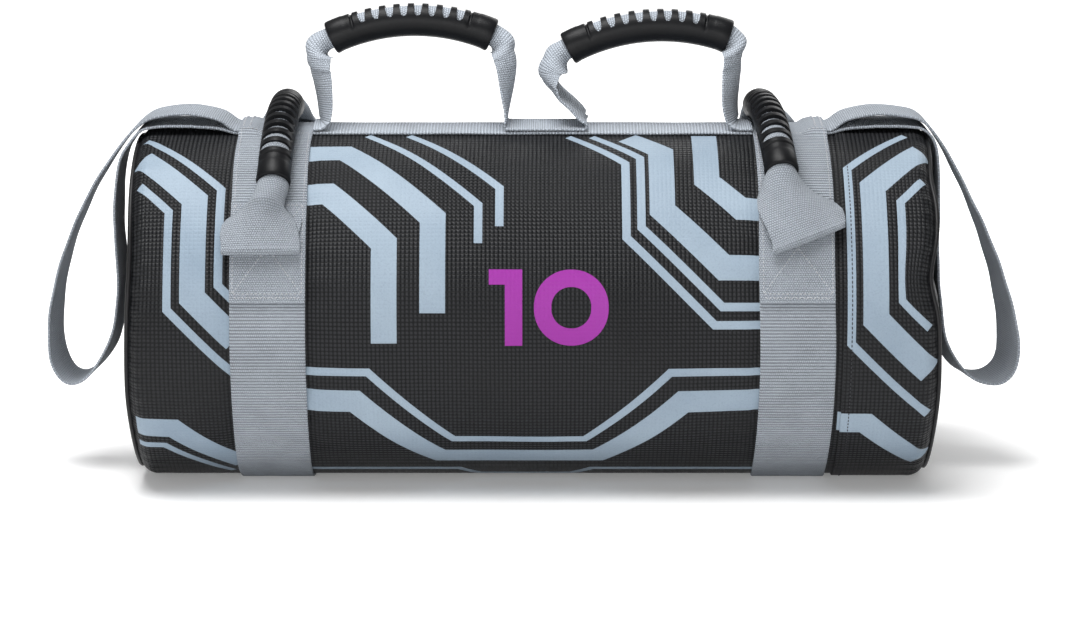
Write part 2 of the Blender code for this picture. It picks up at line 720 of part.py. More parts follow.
def girth_station(x, angle, radius, half_width, half_thick, roundness, tilt=0):
    """A strap's station that lies on the bag's girth at this angle, square to it or tilted."""
    out = Vector((0, -math.sin(angle), math.cos(angle)))
    down = Vector((0, -math.cos(angle), -math.sin(angle)))
    across = Vector((math.cos(tilt), 0, 0)) - down * math.sin(tilt)
    centre = Vector((x, 0, AXIS_HEIGHT)) + out * radius
    return Station(centre, across, out, half_width, half_thick, roundness, 0)


def flaring(start_x, stop_x, start, stop, radius_at, flare_shares, tilt=0):
    """Stations from the grip's end to a sewn end, as the folded webbing opens to its full width."""
    made = []
    for share, flare in flare_shares:
        angle = start + (stop - start) * share
        x = start_x + (stop_x - start_x) * eased(share)
        width = CORE_HALF + (FLARE_HALF_WIDTH - CORE_HALF) * flare
        thick = CORE_HALF + (WEB_THICK / 2 - CORE_HALF) * math.sqrt(flare)
        turn = tilt * eased(share)
        made.append(girth_station(x, angle, radius_at(share), width, thick, 1 - flare, turn))
    return made


def make_band_handle(side, handle, sign):
    """One handle over a band: grip, strap, and the folded and sewn ends in front and behind."""
    band_x = sign * BAND_X
    grip_x = sign * (BAND_X - handle.inboard)
    tilt = sign * handle.fold_tilt
    fold_x = sign * (BAND_X + handle.fold_outboard)
    high_angle = GRIP_LOW_ANGLE - 2 * GRIP_HALF_ANGLE
    middle_angle = GRIP_LOW_ANGLE - GRIP_HALF_ANGLE
    matrix = Matrix.Translation(Vector((grip_x, 0, AXIS_HEIGHT)))
    matrix = matrix @ Matrix.Rotation(middle_angle, 4, "X") @ Matrix.Rotation(math.pi / 2, 4, "Z")
    grip_object = make_grip(f"band_grip_{side}", matrix)
    turn = matrix.to_3x3()
    through = [
        s._replace(centre=matrix @ s.centre, normal=turn @ s.normal, across=turn @ s.across)
        for s in grip_stations()
    ]
    fold_outer = THIRD_MIDDLE + 2 * FOLD_RADIUS
    fold_gap = SEAT_GAP / fold_outer

    def front_radius(share):
        return GRIP_BEND + (fold_outer - GRIP_BEND) * eased(share)

    def rear_radius(share):
        level = GRIP_BEND + (THIRD_MIDDLE - GRIP_BEND) * eased(share)
        return level + REAR_LIFT * math.sin(math.pi * share) ** 2

    front = flaring(
        grip_x, fold_x, GRIP_LOW_ANGLE, FOLD_ANGLE - fold_gap, front_radius, FRONT_FLARE_SHARES,
        tilt,
    )
    rear = flaring(
        grip_x, band_x, high_angle, REAR_TAIL_ANGLE + fold_gap, rear_radius, REAR_FLARE_SHARES
    )
    flipped = [s._replace(across=-s.across) for s in rear[:0:-1]]
    ahead = [s._replace(across=-s.across) for s in front[1:]]
    strap_object = strap(f"band_strap_{side}", flipped + through[::-1] + ahead)
    pivot_place = (grip_x, 0, AXIS_HEIGHT + BAND_OUTER)
    carried([grip_object, strap_object], f"band_handle_{side}_pivot", pivot_place)
    tail = [
        girth_station(fold_x, angle, THIRD_MIDDLE, WEB_HALF, WEB_THICK / 2, 0, tilt)
        for angle in facet_angles(PATCH_ANGLE + TAIL_MARGIN, FOLD_ANGLE)
    ]
    fold_middle = THIRD_MIDDLE + FOLD_RADIUS
    for i in range(1, FOLD_STEPS + 1):
        lean = math.pi * i / FOLD_STEPS
        angle = FOLD_ANGLE + FOLD_RADIUS * math.sin(lean) / fold_middle
        level = fold_middle - FOLD_RADIUS * math.cos(lean)
        bent = girth_station(fold_x, angle, level, WEB_HALF, WEB_THICK / 2, 0, tilt)
        along = bent.normal.cross(bent.across)
        tail.append(bent._replace(normal=bent.normal * math.cos(lean) + along * math.sin(lean)))
    strap(f"front_fold_{side}", tail)
    reach = REAR_TAIL_LENGTH / THIRD_OUTER
    sewn = arc_outline(THIRD_INNER, THIRD_OUTER, REAR_TAIL_ANGLE - reach, REAR_TAIL_ANGLE)
    girth_strip(f"rear_tail_{side}", [sewn], WEB_WIDTH, band_x)


def make_end_loop(side, loop, sign):
    """A webbing loop hinged beside the band, and the two layers of its tail sewn on the band."""
    turn_x = BAND_X + LOOP_TURN
    top_run = turn_x - LOOP_HINGE_X
    knots = []
    start = LOOP_HINGE_X + SEAT_GAP
    knots.append(Vector((start, 0, AXIS_HEIGHT + THIRD_MIDDLE)))
    for along, up in loop.shares:
        x = turn_x + along * (LOOP_REACH if along > 0 else top_run)
        z = LOOP_HINGE_HEIGHT + up * (LOOP_ARCH if up > 0 else LOOP_DROP)
        knots.append(Vector((x, 0, z)))
    knots.append(Vector((start, 0, AXIS_HEIGHT + SECOND_MIDDLE)))
    normals = normals_along(knots)
    normals[0] = normals[-1] = Vector((0, 0, 1))
    stations = []
    for i, (knot, normal) in enumerate(zip(knots, normals)):
        outward = (knot.x - LOOP_HINGE_X) / LOOP_DRAPE_RUN
        drape = max(1 - outward, 0)
        hang = min(max((LOOP_HINGE_HEIGHT - knot.z) / LOOP_DROP, 0), 1)
        turn = loop.twist * eased(hang)
        across = Vector((-math.sin(turn), math.cos(turn), 0))
        if i == len(knots) - 1:
            normal = -normal
        flat = (normal - across * normal.dot(across)).normalized()
        centre = Vector((knot.x * sign, 0, knot.z))
        across.x *= sign
        flat.x *= sign
        stations.append(Station(centre, across, flat, WEB_HALF, WEB_THICK / 2, 0, drape))
    loop_object = strap(f"end_loop_{side}", stations)
    carried([loop_object], f"end_loop_{side}_pivot", (sign * LOOP_HINGE_X, 0, LOOP_HINGE_HEIGHT))
    half_angle = math.asin(WEB_HALF / BAND_OUTER)
    end = LOOP_HINGE_X - LOOP_TAIL_LENGTH
    sewn = arc_outline(SECOND_INNER, THIRD_OUTER, -half_angle, half_angle)
    girth_strip(f"loop_tail_{side}", [sewn], LOOP_TAIL_LENGTH, sign * (LOOP_HINGE_X + end) / 2)


clear_scene()
parts = new_collection("sandbag_trainer")
cutters = new_collection("sandbag_trainer_cutters", helper=True)
make_shell()
make_filling()
make_bands()
make_top_handles()
make_band_handle("left", LEFT_BAND_HANDLE, -1)
make_band_handle("right", RIGHT_BAND_HANDLE, 1)
make_end_loop("left", LEFT_LOOP, -1)
make_end_loop("right", RIGHT_LOOP, 1)
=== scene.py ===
"""Sandbag trainer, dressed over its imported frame.

Metres. X runs along the bag, -Y is its front and +Z is up. Angles round the bag are measured from
its top towards its front, as in the part's source.
"""

import math

import bpy
import numpy as np
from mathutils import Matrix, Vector


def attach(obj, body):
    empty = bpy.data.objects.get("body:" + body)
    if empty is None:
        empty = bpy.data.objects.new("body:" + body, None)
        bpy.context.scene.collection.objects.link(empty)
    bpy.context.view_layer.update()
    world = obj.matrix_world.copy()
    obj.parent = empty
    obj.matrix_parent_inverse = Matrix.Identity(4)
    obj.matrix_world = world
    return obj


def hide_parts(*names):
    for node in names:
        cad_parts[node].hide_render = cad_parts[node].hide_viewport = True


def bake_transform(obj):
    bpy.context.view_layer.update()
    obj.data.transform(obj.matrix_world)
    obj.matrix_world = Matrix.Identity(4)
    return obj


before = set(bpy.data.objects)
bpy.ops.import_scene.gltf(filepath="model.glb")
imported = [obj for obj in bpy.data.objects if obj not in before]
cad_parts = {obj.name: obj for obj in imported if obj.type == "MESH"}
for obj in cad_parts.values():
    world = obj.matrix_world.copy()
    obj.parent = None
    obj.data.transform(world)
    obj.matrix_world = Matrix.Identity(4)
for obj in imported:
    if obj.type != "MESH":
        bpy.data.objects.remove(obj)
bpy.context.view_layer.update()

# The part's own driving values, as its source has them
SEAT_GAP = 0.0003
BAG_RADIUS = 0.1210
SHELL_WALL = 0.0012
FLOOR_SAG = 0.0070
SAG_BLEND_SHARE = 0.02
END_OVERHANG = 0.1028
DOME_RISE = 0.0080
CORNER_LENGTH = 0.0120
CORNER_DROP = 0.0140
SEAM_ANGLE = math.radians(60)
PIPING_RADIUS = 0.0016
PIPING_PROUD = 0.0008
CUFF_TO_BAND = 0.0055
CUFF_LAP = 0.0120
CORE_RADIUS = 0.0440
WEB_WIDTH = 0.0500
WEB_THICK = 0.0018
FOLD_RADIUS = 0.0016
GRIP_LENGTH = 0.1140
GRIP_RADIUS = 0.0112
COLLAR_RADIUS = 0.0116
GRIP_WALL = 0.0028
GRIP_TO_BAND = 0.0004
SLOT_COUNT = 8
SLOT_PITCH = 0.0092
SLOT_WIDTH = 0.0056
SLOT_DEPTH = 0.0074
SLOT_RISE = 0.0073
GROOVE_FROM_SLOT = 0.0070
NOTCH_WIDTH = 0.0024
NOTCH_DEPTH = 0.0013
CORE_LIFT = 0.0017
CENTRE_TAB_LEFT = -0.0180
HINGE_ROUND = 0.0065
FOOT_RISE = 0.0160
PATCH_LENGTH = 0.0700
PATCH_ANGLE = math.radians(48)
TAIL_MARGIN = math.radians(2.5)
FOLD_ANGLE = math.radians(64.5)
GRIP_LOW_ANGLE = math.radians(43)
REAR_TAIL_ANGLE = math.radians(-49)
REAR_TAIL_LENGTH = 0.0380
REAR_LIFT = 0.0090
FLARE_HALF_WIDTH = 0.0262
LOOP_TUCK = 0.0105
LOOP_FROM_BAND = 0.0030
LOOP_ARCH = 0.0070
LOOP_DROP = 0.1820
LOOP_TURN = 0.0960
LOOP_REACH = 0.0620
LOOP_DRAPE_RUN = 0.0300

BAND_INNER = BAG_RADIUS + SEAT_GAP
BAND_OUTER = BAND_INNER + WEB_THICK
SECOND_INNER = BAND_OUTER + SEAT_GAP
SECOND_OUTER = SECOND_INNER + WEB_THICK
THIRD_INNER = SECOND_OUTER + SEAT_GAP
THIRD_OUTER = THIRD_INNER + WEB_THICK
BAND_MIDDLE = BAND_INNER + WEB_THICK / 2
SECOND_MIDDLE = SECOND_INNER + WEB_THICK / 2
THIRD_MIDDLE = THIRD_INNER + WEB_THICK / 2
CUFF_OUTER = BAND_INNER + SHELL_WALL
AXIS_HEIGHT = BAND_OUTER - FLOOR_SAG
CORE_HALF = GRIP_RADIUS - GRIP_WALL - SEAT_GAP
GRIP_BEND = BAND_OUTER + GRIP_TO_BAND + COLLAR_RADIUS
GRIP_HALF_ANGLE = GRIP_LENGTH / GRIP_BEND / 2
GRIP_CHORD = 2 * GRIP_BEND * math.sin(GRIP_HALF_ANGLE)
WEB_HALF = WEB_WIDTH / 2
LEFT_SPREAD, LEFT_TO_BAND = 0.0155, 0.0055
BAND_X = -CENTRE_TAB_LEFT + GRIP_CHORD + LEFT_SPREAD + LEFT_TO_BAND + WEB_HALF
BAND_EDGE = BAND_X - WEB_HALF
HALF_LENGTH = BAND_X + END_OVERHANG
RIM_X = HALF_LENGTH - DOME_RISE
CUFF_START = BAND_X + WEB_HALF + CUFF_TO_BAND
HINGE_HEIGHT = AXIS_HEIGHT + SECOND_OUTER + FOOT_RISE + SEAT_GAP + HINGE_ROUND
LOOP_HINGE_X = BAND_X + WEB_HALF + LOOP_FROM_BAND
LOOP_HINGE_HEIGHT = AXIS_HEIGHT + THIRD_OUTER
RIGHT_SPREAD, RIGHT_TO_BAND = -0.0080, 0.0110
RIGHT_FOOT_X = BAND_EDGE - RIGHT_TO_BAND - (GRIP_CHORD + RIGHT_SPREAD)
CENTRE_SEAM = (CENTRE_TAB_LEFT + RIGHT_FOOT_X) / 2
# How far an upright handle's rolled webbing is turned in its grip
SEAM_TURN = 0.5
SIDES = (("left", -1), ("right", 1))


# Camera, floor and light

FOCAL_PIXELS, PICTURE_PIXELS, SENSOR_WIDTH = 3400, 1080, 36
VIEW_LIFT = math.radians(11)
VIEW_DISTANCE = 2.36
VIEW_AIM = (0.0049, 0, AXIS_HEIGHT - 0.0096)
VIEW_END = 60
FLOOR_REACH = 14
FLOOR_LEVEL = 0.90
# The floor glows where it is seen, by its distance from a spot: near and far, and how strongly there
GLOW_SPOT = (0, -0.18, 0)
GLOW_RANGE = (0.30, 0.90, 0.16, 0.75)
WORLD_STRENGTH = 0.34
# Each lamp's name, place, aim, width, height and watts
LAMPS = (
    ("overhead", (-0.35, -0.35, 2.1), (0, 0, 0.1), 1.5, 1.1, 58),
    ("front", (-0.5, -2.6, 0.55), (0, 0, 0.12), 2.0, 0.9, 30),
    ("back", (0.9, 2.0, 1.3), (0, 0, 0.15), 2.0, 1.0, 16),
)


def add_object(name, data):
    """A new object in the scene."""
    obj = bpy.data.objects.new(name, data)
    bpy.context.scene.collection.objects.link(obj)
    return obj


def make_camera():
    """A long lens in front of the bag and a little above it, as the photograph was taken."""
    data = bpy.data.cameras.new("view")
    data.sensor_width = SENSOR_WIDTH
    data.lens = FOCAL_PIXELS / PICTURE_PIXELS * SENSOR_WIDTH
    data.clip_end = VIEW_END
    camera = add_object("view", data)
    way = Vector((0, -math.cos(VIEW_LIFT), math.sin(VIEW_LIFT)))
    camera.location = Vector(VIEW_AIM) + VIEW_DISTANCE * way
    camera.rotation_euler = (math.pi / 2 - VIEW_LIFT, 0, 0)
    bpy.context.scene.camera = camera


def soft_lamp(name, place, aim, width, height, watts):
    """A wide lamp that shines from its place towards its aim."""
    data = bpy.data.lights.new(name, "AREA")
    data.shape = "RECTANGLE"
    data.size, data.size_y = width, height
    data.energy = watts
    lamp = add_object(name, data)
    lamp.location = place
    lamp.rotation_euler = (Vector(aim) - Vector(place)).to_track_quat("-Z", "Y").to_euler()


class Value:
    """The result of a node. Sums of it with numbers and other results make new nodes."""

    def __init__(self, tree, socket):
        self.tree, self.socket = tree, socket

    def __add__(self, other):
        return self.tree.sum("ADD", self, other)

    def __sub__(self, other):
        return self.tree.sum("SUBTRACT", self, other)

    def __mul__(self, other):
        return self.tree.sum("MULTIPLY", self, other)

    def __truediv__(self, other):
        return self.tree.sum("DIVIDE", self, other)

    def __abs__(self):
        return self.tree.sum("ABSOLUTE", self)


class Nodes:
    """A tree of shader nodes, each fed with numbers and with the results of others."""

    def __init__(self, owner):
        owner.use_nodes = True
        self.nodes, self.links = owner.node_tree.nodes, owner.node_tree.links

    def put(self, value, socket):
        """Links a socket to a result, or sets it to a number."""
        if isinstance(value, Value):
            self.links.new(value.socket, socket)
        else:
            socket.default_value = value

    def new(self, kind, inputs=(), output=0, **settings):
        """A new node's result. Its inputs are given in their order, or by place or name."""
        node = self.nodes.new("ShaderNode" + kind)
        for name, setting in settings.items():
            setattr(node, name, setting)
        for place, value in inputs.items() if isinstance(inputs, dict) else enumerate(inputs):
            self.put(value, node.inputs[place])
        return Value(self, node.outputs[output]) if node.outputs else node

    def sum(self, operation, *values):
        """The result of one operation on one to three values."""
        return self.new("Math", values, operation=operation)


def make_studio():
    """A pale floor that reaches past the view, a white world and three soft lamps."""
    mesh = bpy.data.meshes.new("floor")
    corners = [(x * FLOOR_REACH, y * FLOOR_REACH, 0) for x, y in ((-1, -1), (1, -1), (1, 1), (-1, 1))]
    mesh.from_pydata(corners, [], [(0, 1, 2, 3)])
    floor = add_object("floor", mesh)
    pale = bpy.data.materials.new("pale_floor")
    tree = Nodes(pale)
    tree.nodes.clear()
    paint = tree.new("BsdfDiffuse", {"Color": grey(FLOOR_LEVEL)})
    seen = [tree.new("LightPath", output=f"Is {ray} Ray") for ray in ("Camera", "Glossy")]
    spots = (tree.new("TexCoord", output="Object"), GLOW_SPOT)
    distance = tree.new("VectorMath", spots, "Value", operation="DISTANCE")
    strength = tree.sum("MAXIMUM", *seen) * tree.new("MapRange", (distance, *GLOW_RANGE))
    glow = tree.new("Emission", {"Strength": strength})
    tree.new("OutputMaterial", {"Surface": tree.new("AddShader", (paint, glow))})
    mesh.materials.append(pale)

    scene = bpy.context.scene
    scene.view_settings.view_transform = "Standard"
    scene.world = bpy.data.worlds.new("white_room")
    tree = Nodes(scene.world)
    tree.nodes.clear()
    seen = tree.new("LightPath", output="Is Camera Ray")
    dim, white = (tree.new("Background", {"Strength": level}) for level in (WORLD_STRENGTH, 1))
    tree.new("OutputWorld", {"Surface": tree.new("MixShader", (seen, dim, white))})
    for lamp in LAMPS:
        soft_lamp(*lamp)


# Grids of points, and the maths that places them

def together(*parts):
    """Arrays of coordinates, stretched to one shape and joined into points."""
    return np.stack(np.broadcast_arrays(*parts), -1)


def all_round(count):
    """So many angles all round, in equal steps from -180 degrees."""
    return np.linspace(-math.pi, math.pi, count, endpoint=False)


def surface(name, points, uv, material, ring_rows=False, sharp=40):
    """A closed mesh over a grid of points whose rows are rings, one face in each of its cells.

    ring_rows joins the last row to the first. Without it, each open end is covered by strips
    between facing points of its ring. The uv grid has one more column, and one more row where the
    rows close.
    """
    rows, columns = points.shape[:2]
    index = np.arange(rows * columns).reshape(rows, columns)
    mark = np.arange(uv.shape[0] * uv.shape[1]).reshape(uv.shape[:2])
    index = np.hstack([index, index[:, :1]])
    if ring_rows:
        index = np.vstack([index, index[:1]])

    def cells(grid):
        """The four corners of each cell."""
        return np.stack([grid[:-1, :-1], grid[:-1, 1:], grid[1:, 1:], grid[1:, :-1]], -1).reshape(-1, 4)

    faces, marks = cells(index), cells(mark)
    if not ring_rows:
        near = np.arange(columns // 2 - 1)
        cap = np.stack([near, columns - 1 - near, columns - 2 - near, near + 1], -1)
        for row, way in ((0, 1), (rows - 1, -1)):
            faces = np.vstack([faces, index[row][cap[:, ::way]]])
            marks = np.vstack([marks, mark[row][cap[:, ::way]]])
    spots = points.reshape(-1, 3)
    first, second, third, fourth = (spots[faces[:, k]] for k in range(4))
    volume = np.einsum("ij,ij->", first, np.cross(second, third) + np.cross(third, fourth))
    if volume < 0:
        faces, marks = faces[:, ::-1], marks[:, ::-1]
    mesh = bpy.data.meshes.new(name)
    mesh.from_pydata(spots, [], faces.tolist())
    layer = mesh.uv_layers.new(name="cloth")
    layer.data.foreach_set("uv", uv.reshape(-1, 2)[marks.reshape(-1)].astype(np.float32).reshape(-1))
    mesh.shade_smooth()
    mesh.set_sharp_from_angle(angle=math.radians(sharp))
    mesh.materials.append(material)
    return add_object(name, mesh)


def web_surface(name, points, across, along, material, ring_rows=False):
    """A surface of webbing, with each point's distance across the cloth and along it."""
    uv = together(np.concatenate([across, across[..., :1]], -1), along)
    return surface(name, points, uv, material, ring_rows)


def ease(share):
    """A share from 0 to 1 that starts and ends level: 3 s squared less 2 s cubed."""
    share = np.clip(share, 0, 1)
    return share * share * (3 - 2 * share)


def bump(value, centre, spread):
    """A bell of height 1 at the centre: e to the minus square of the distance in spreads."""
    return np.exp(-(((value - centre) / spread) ** 2))


def waves(along, around, seed, count, long_wave, short_wave):
    """A sum of sine waves in seeded directions and lengths, about -1 to 1."""
    draw = np.random.default_rng(seed)
    total = np.zeros(np.broadcast(along, around).shape)
    for _ in range(count):
        length = draw.uniform(short_wave, long_wave)
        turn, start = draw.uniform(0, math.pi), draw.uniform(0, 2 * math.pi)
        total += np.sin(2 * math.pi * (along * math.cos(turn) + around * math.sin(turn)) / length + start)
    return total / math.sqrt(count)


def settled(points):
    """Points given round the bag's axis, as they lie once the filling has settled on the floor.

    Each ray from the axis is shortened so that the outermost circle meets the floor in a flat: the
    share kept is the lesser of 1 and axis height over the ray's depth, its corner rounded.
    """
    x, y, z = points[..., 0], points[..., 1], points[..., 2]
    radius = np.maximum(np.hypot(y, z), 1e-9)
    down = np.maximum(-z / radius, 1e-6)
    limit = AXIS_HEIGHT / (BAND_OUTER * down)
    near = np.maximum(SAG_BLEND_SHARE - np.abs(limit - 1), 0) / SAG_BLEND_SHARE
    share = np.where(z < 0, np.minimum(limit, 1) - near * near * SAG_BLEND_SHARE / 4, 1)
    return np.stack([x, y * share, AXIS_HEIGHT + z * share], -1)


# Where the hollows of the ends start along the bag, and over what run they reach their depth
HOLLOW_START, HOLLOW_RUN = 0.235, 0.032
# Bells over the ends' height: its middle, its spread, and how far it moves the end out
RIGHT_BELLS = ((0.152, 0.020, -0.0058), (0.212, 0.011, -0.0022), (0.075, 0.030, 0.0012))
LEFT_BELLS = ((0.165, 0.035, 0.0020), (0.070, 0.030, -0.0012))


def hollows(points):
    """Moves points of the ends as the stuffing has left them: in where slack, out where packed.

    Bells over height, and a level start over the distance along the bag, shift the points along X.
    """
    x, z = points[..., 0], points[..., 2]
    reach = ease((np.abs(x) - HOLLOW_START) / HOLLOW_RUN)
    right, left = (sum(out * bump(z, *bell) for *bell, out in bells) for bells in (RIGHT_BELLS, LEFT_BELLS))
    moved = points.copy()
    moved[..., 0] += reach * np.where(x > 0, right, left)
    return moved


def on_bag(x, radius, angle):
    """Points at this place along the bag, this radius and this angle from its top to its front."""
    return settled(together(x, -radius * np.sin(angle), radius * np.cos(angle)))


def web_profile(cells=10):
    """Webbing's cross-section: share of the half-width, selvedge offset, and height off its middle.

    Two flat faces are joined by half-round selvedges. The ring starts at the left selvedge, and its
    second half is the first one turned over, so that facing points pair up.
    """
    half = WEB_THICK / 2
    round_turns = np.radians([20, 60])
    share = np.concatenate([[-1, -1], np.linspace(-1, 1, cells + 1), [1, 1]])
    flat = np.zeros(cells + 1)
    out, rise = half * np.cos(round_turns), half * np.sin(round_turns)
    edge = np.concatenate([-out, flat, out[::-1]])
    height = np.concatenate([rise, flat + half, rise[::-1]])
    halves = ((share, 1), (edge, 1), (height, -1))
    return [np.concatenate([values, way * values[::-1]]) for values, way in halves]


def measured(points):
    """The distance run along a path at each of its points."""
    steps = np.linalg.norm(np.diff(points, axis=0), axis=1)
    return np.concatenate([[0], np.cumsum(steps)])


# Within this distance of its least radius, webbing that rests on the bag is eased onto it
REST_BLEND = 0.0016


def carried(name, centre, across, out, width, roll, spiral, pin, ripple, material, spin=0, rest=0):
    """Webbing carried along a path, bent across its width into part of a ring or a full roll.

    A point at distance a from the middle and height b sits at angle a / R on a ring of radius
    R = width / roll, drawn in or out by a spiral, and the ring is set so that the webbing's crown
    (pin 0) or its centre of weight (pin 1) stays on the path. spin turns the roll about the path.
    Where rest is a radius round the bag's axis, the webbing's lower face comes no lower than it.
    """
    share, edge, height = web_profile(16)
    count = len(centre)
    columns = (width, roll, spiral, pin, spin)
    width, roll, spiral, pin, spin = (np.broadcast_to(column, count)[:, None] for column in columns)
    a = share * (width / 2 - WEB_THICK / 2) + edge
    ring = width / roll
    run = measured(centre)
    angle = a / ring
    radius = ring - spiral * a / width + height + ripple(a, run[:, None])
    sink = ring * (1 - pin + pin * np.sinc(roll / 2 / math.pi))
    sideways, outwards = radius * np.sin(angle), radius * np.cos(angle) - sink
    turned_side = sideways * np.cos(spin) - outwards * np.sin(spin)
    turned_out = sideways * np.sin(spin) + outwards * np.cos(spin)
    points = centre[:, None] + across[:, None] * turned_side[..., None] + out[:, None] * turned_out[..., None]
    if rest:
        depth = np.hypot(points[..., 1], points[..., 2] - AXIS_HEIGHT)
        least = rest + height + WEB_THICK / 2
        near = np.maximum(REST_BLEND - np.abs(depth - least), 0) / REST_BLEND
        lifted = np.maximum(depth, least) + near * near * (REST_BLEND / 4)
        points[..., 1] *= lifted / depth
        points[..., 2] = AXIS_HEIGHT + (points[..., 2] - AXIS_HEIGHT) * lifted / depth
    return web_surface(name, points, a, run[:, None], material)


def still(a, run):
    """No ripple."""
    return 0 * a * run


def smooth_path(knots, count):
    """A smooth curve through the knots, resampled to equal steps of its length.

    Between two knots it is the cubic whose slopes there are half the way between their neighbours.
    """
    knots = np.array(knots, float)
    padded = np.vstack([2 * knots[0] - knots[1], knots, 2 * knots[-1] - knots[-2]])
    before, near, far, after = padded[:-3], padded[1:-2], padded[2:-1], padded[3:]
    t = np.linspace(0, 1, 24, endpoint=False)[None, :, None]
    before, near, far, after = (k[:, None] for k in (before, near, far, after))
    fine = near * (2 * t**3 - 3 * t**2 + 1) + (far - before) / 2 * (t**3 - 2 * t**2 + t)
    fine = fine + far * (3 * t**2 - 2 * t**3) + (after - near) / 2 * (t**3 - t**2)
    fine = np.vstack([fine.reshape(-1, knots.shape[1]), knots[-1:]])
    run = measured(fine)
    wanted = np.linspace(0, run[-1], count)
    return np.stack([np.interp(wanted, run, fine[:, k]) for k in range(knots.shape[1])], -1)


def left_of(path):
    """At each point of a path in an XZ plane, the direction to the left of its run."""
    run = np.gradient(path, axis=0)
    side = np.stack([-run[:, 2], 0 * run[:, 0], run[:, 0]], -1)
    return side / np.linalg.norm(side, axis=1)[:, None]


# How far webbing can be rolled, in radians: flat, in an open leg and in a grip
LEAST_ROLL, LEG_ROLL, FULL_ROLL = 0.05, 4.6, 8.3
LEG_ROLLS = np.linspace(LEAST_ROLL, LEG_ROLL, 120)


def roll_for_depth(depth):
    """How far webbing is rolled, in radians, where it stands so deep from its crown to its edges."""
    return np.interp(depth, WEB_WIDTH / LEG_ROLLS * (1 - np.cos(LEG_ROLLS / 2)), LEG_ROLLS)


ROLLS = np.linspace(LEAST_ROLL, FULL_ROLL, 200)
ROLL_HALF_SHARES = np.where(ROLLS < math.pi, np.sin(ROLLS / 2), 1) / ROLLS


def roll_for(half_width, width):
    """How far webbing is rolled, in radians, where it is seen to be only so wide."""
    seen = np.clip(half_width / width, ROLL_HALF_SHARES[-1], ROLL_HALF_SHARES[0])
    return np.interp(-seen, -ROLL_HALF_SHARES, ROLLS)


# Finishes

# The range that most of a noise's values lie in
NOISE_RANGE = (0.3, 0.7)


class Finish(Nodes):
    """A material whose pattern is built up from sums and products of its coordinates."""

    def __init__(self, name, roughness, specular=0.5, sheen=0):
        self.material = bpy.data.materials.new(name)
        super().__init__(self.material)
        self.look("Roughness", roughness)
        self.look("Specular IOR Level", specular)
        self.look("Sheen Weight", sheen)

    def look(self, name, value):
        """Gives the material's shader this value."""
        self.put(value, self.nodes["Principled BSDF"].inputs[name])

    def cloth(self):
        """The distance across the cloth and along it."""
        across = self.new("SeparateXYZ", (self.new("UVMap", uv_map="cloth"),))
        return across, Value(self, across.socket.node.outputs[1])

    def noise(self, scale, detail=2):
        """Cloudy noise in the object's own space."""
        place = self.new("TexCoord", output="Object")
        return self.new("TexNoise", {"Vector": place, "Scale": scale, "Detail": detail})

    def between(self, value, low, high, from_low=0, from_high=1):
        """A value's range laid over another range, and held within it."""
        return self.new("MapRange", (value, from_low, from_high, low, high))

    def mix(self, share, first, second):
        """A colour between two colours."""
        return self.new("Mix", {0: share, 6: first, 7: second}, 2, data_type="RGBA")

    def relief(self, height, depth):
        """A bump of this height map, whose full range is so deep."""
        self.look("Normal", self.new("Bump", {"Distance": depth, "Height": height}))


def grey(level, tint=(1, 1, 1)):
    """A colour from a level of light between 0 and 1."""
    return (level * tint[0], level * tint[1], level * tint[2], 1)


WEB_ROUGHNESS, WEB_SPECULAR, WEB_SHEEN = 0.80, 0.2, 0.1
WEB_TINT = (0.91, 1.0, 1.12)
# The grooves' colour as a share of the webbing's level: painted shade in the weave
PAINTED_GROOVE_SHADE = 0.03
# The finer weave of straps, loops and patches
FINE_WEAVE = {"fine": 0.0016, "depth": 0.0006, "edge": 0.8, "dip": 0.15}


def webbing_finish(name, rib, level, contrast=(0.40, 1.28), fine=0.0013, depth=0.0010, edge=1.6, dip=0.55):
    """Woven webbing: ribs across it at this pitch, each a row of small raised floats.

    The height is a wave along the webbing, the sine's size to the power of edge, times a wave across
    it, from dip to 1, that starts half a float later in every other rib. The colour follows the height:
    the grooves are painted shade, near black, and the floats are painted lighter as their lit crowns.
    """
    made = Finish(name, WEB_ROUGHNESS, WEB_SPECULAR, WEB_SHEEN)
    across, along = made.cloth()
    rows = along / rib
    shift = made.sum("FLOOR", rows) * (math.pi / 2)
    wave = made.sum("POWER", abs(made.sum("SINE", rows * math.pi)), edge)
    floats = abs(made.sum("SINE", across * (math.pi / fine) + shift))
    woven = wave * made.between(floats, dip, 1)
    cloud, fuzz = made.noise(38, 3), made.noise(1300)
    shade = made.between(woven, *contrast) * made.between(cloud, 0.86, 1.10, *NOISE_RANGE)
    shade = shade * made.between(fuzz, 0.84, 1.12, *NOISE_RANGE)
    # The weave's dark and light in the colour are painted shade in the grooves and painted light on the
    # floats, with cloudy tone
    made.look("Base Color", made.mix(shade, grey(level * PAINTED_GROOVE_SHADE), grey(level, WEB_TINT)))
    made.relief(woven + fuzz * 0.2, depth)
    return made.material


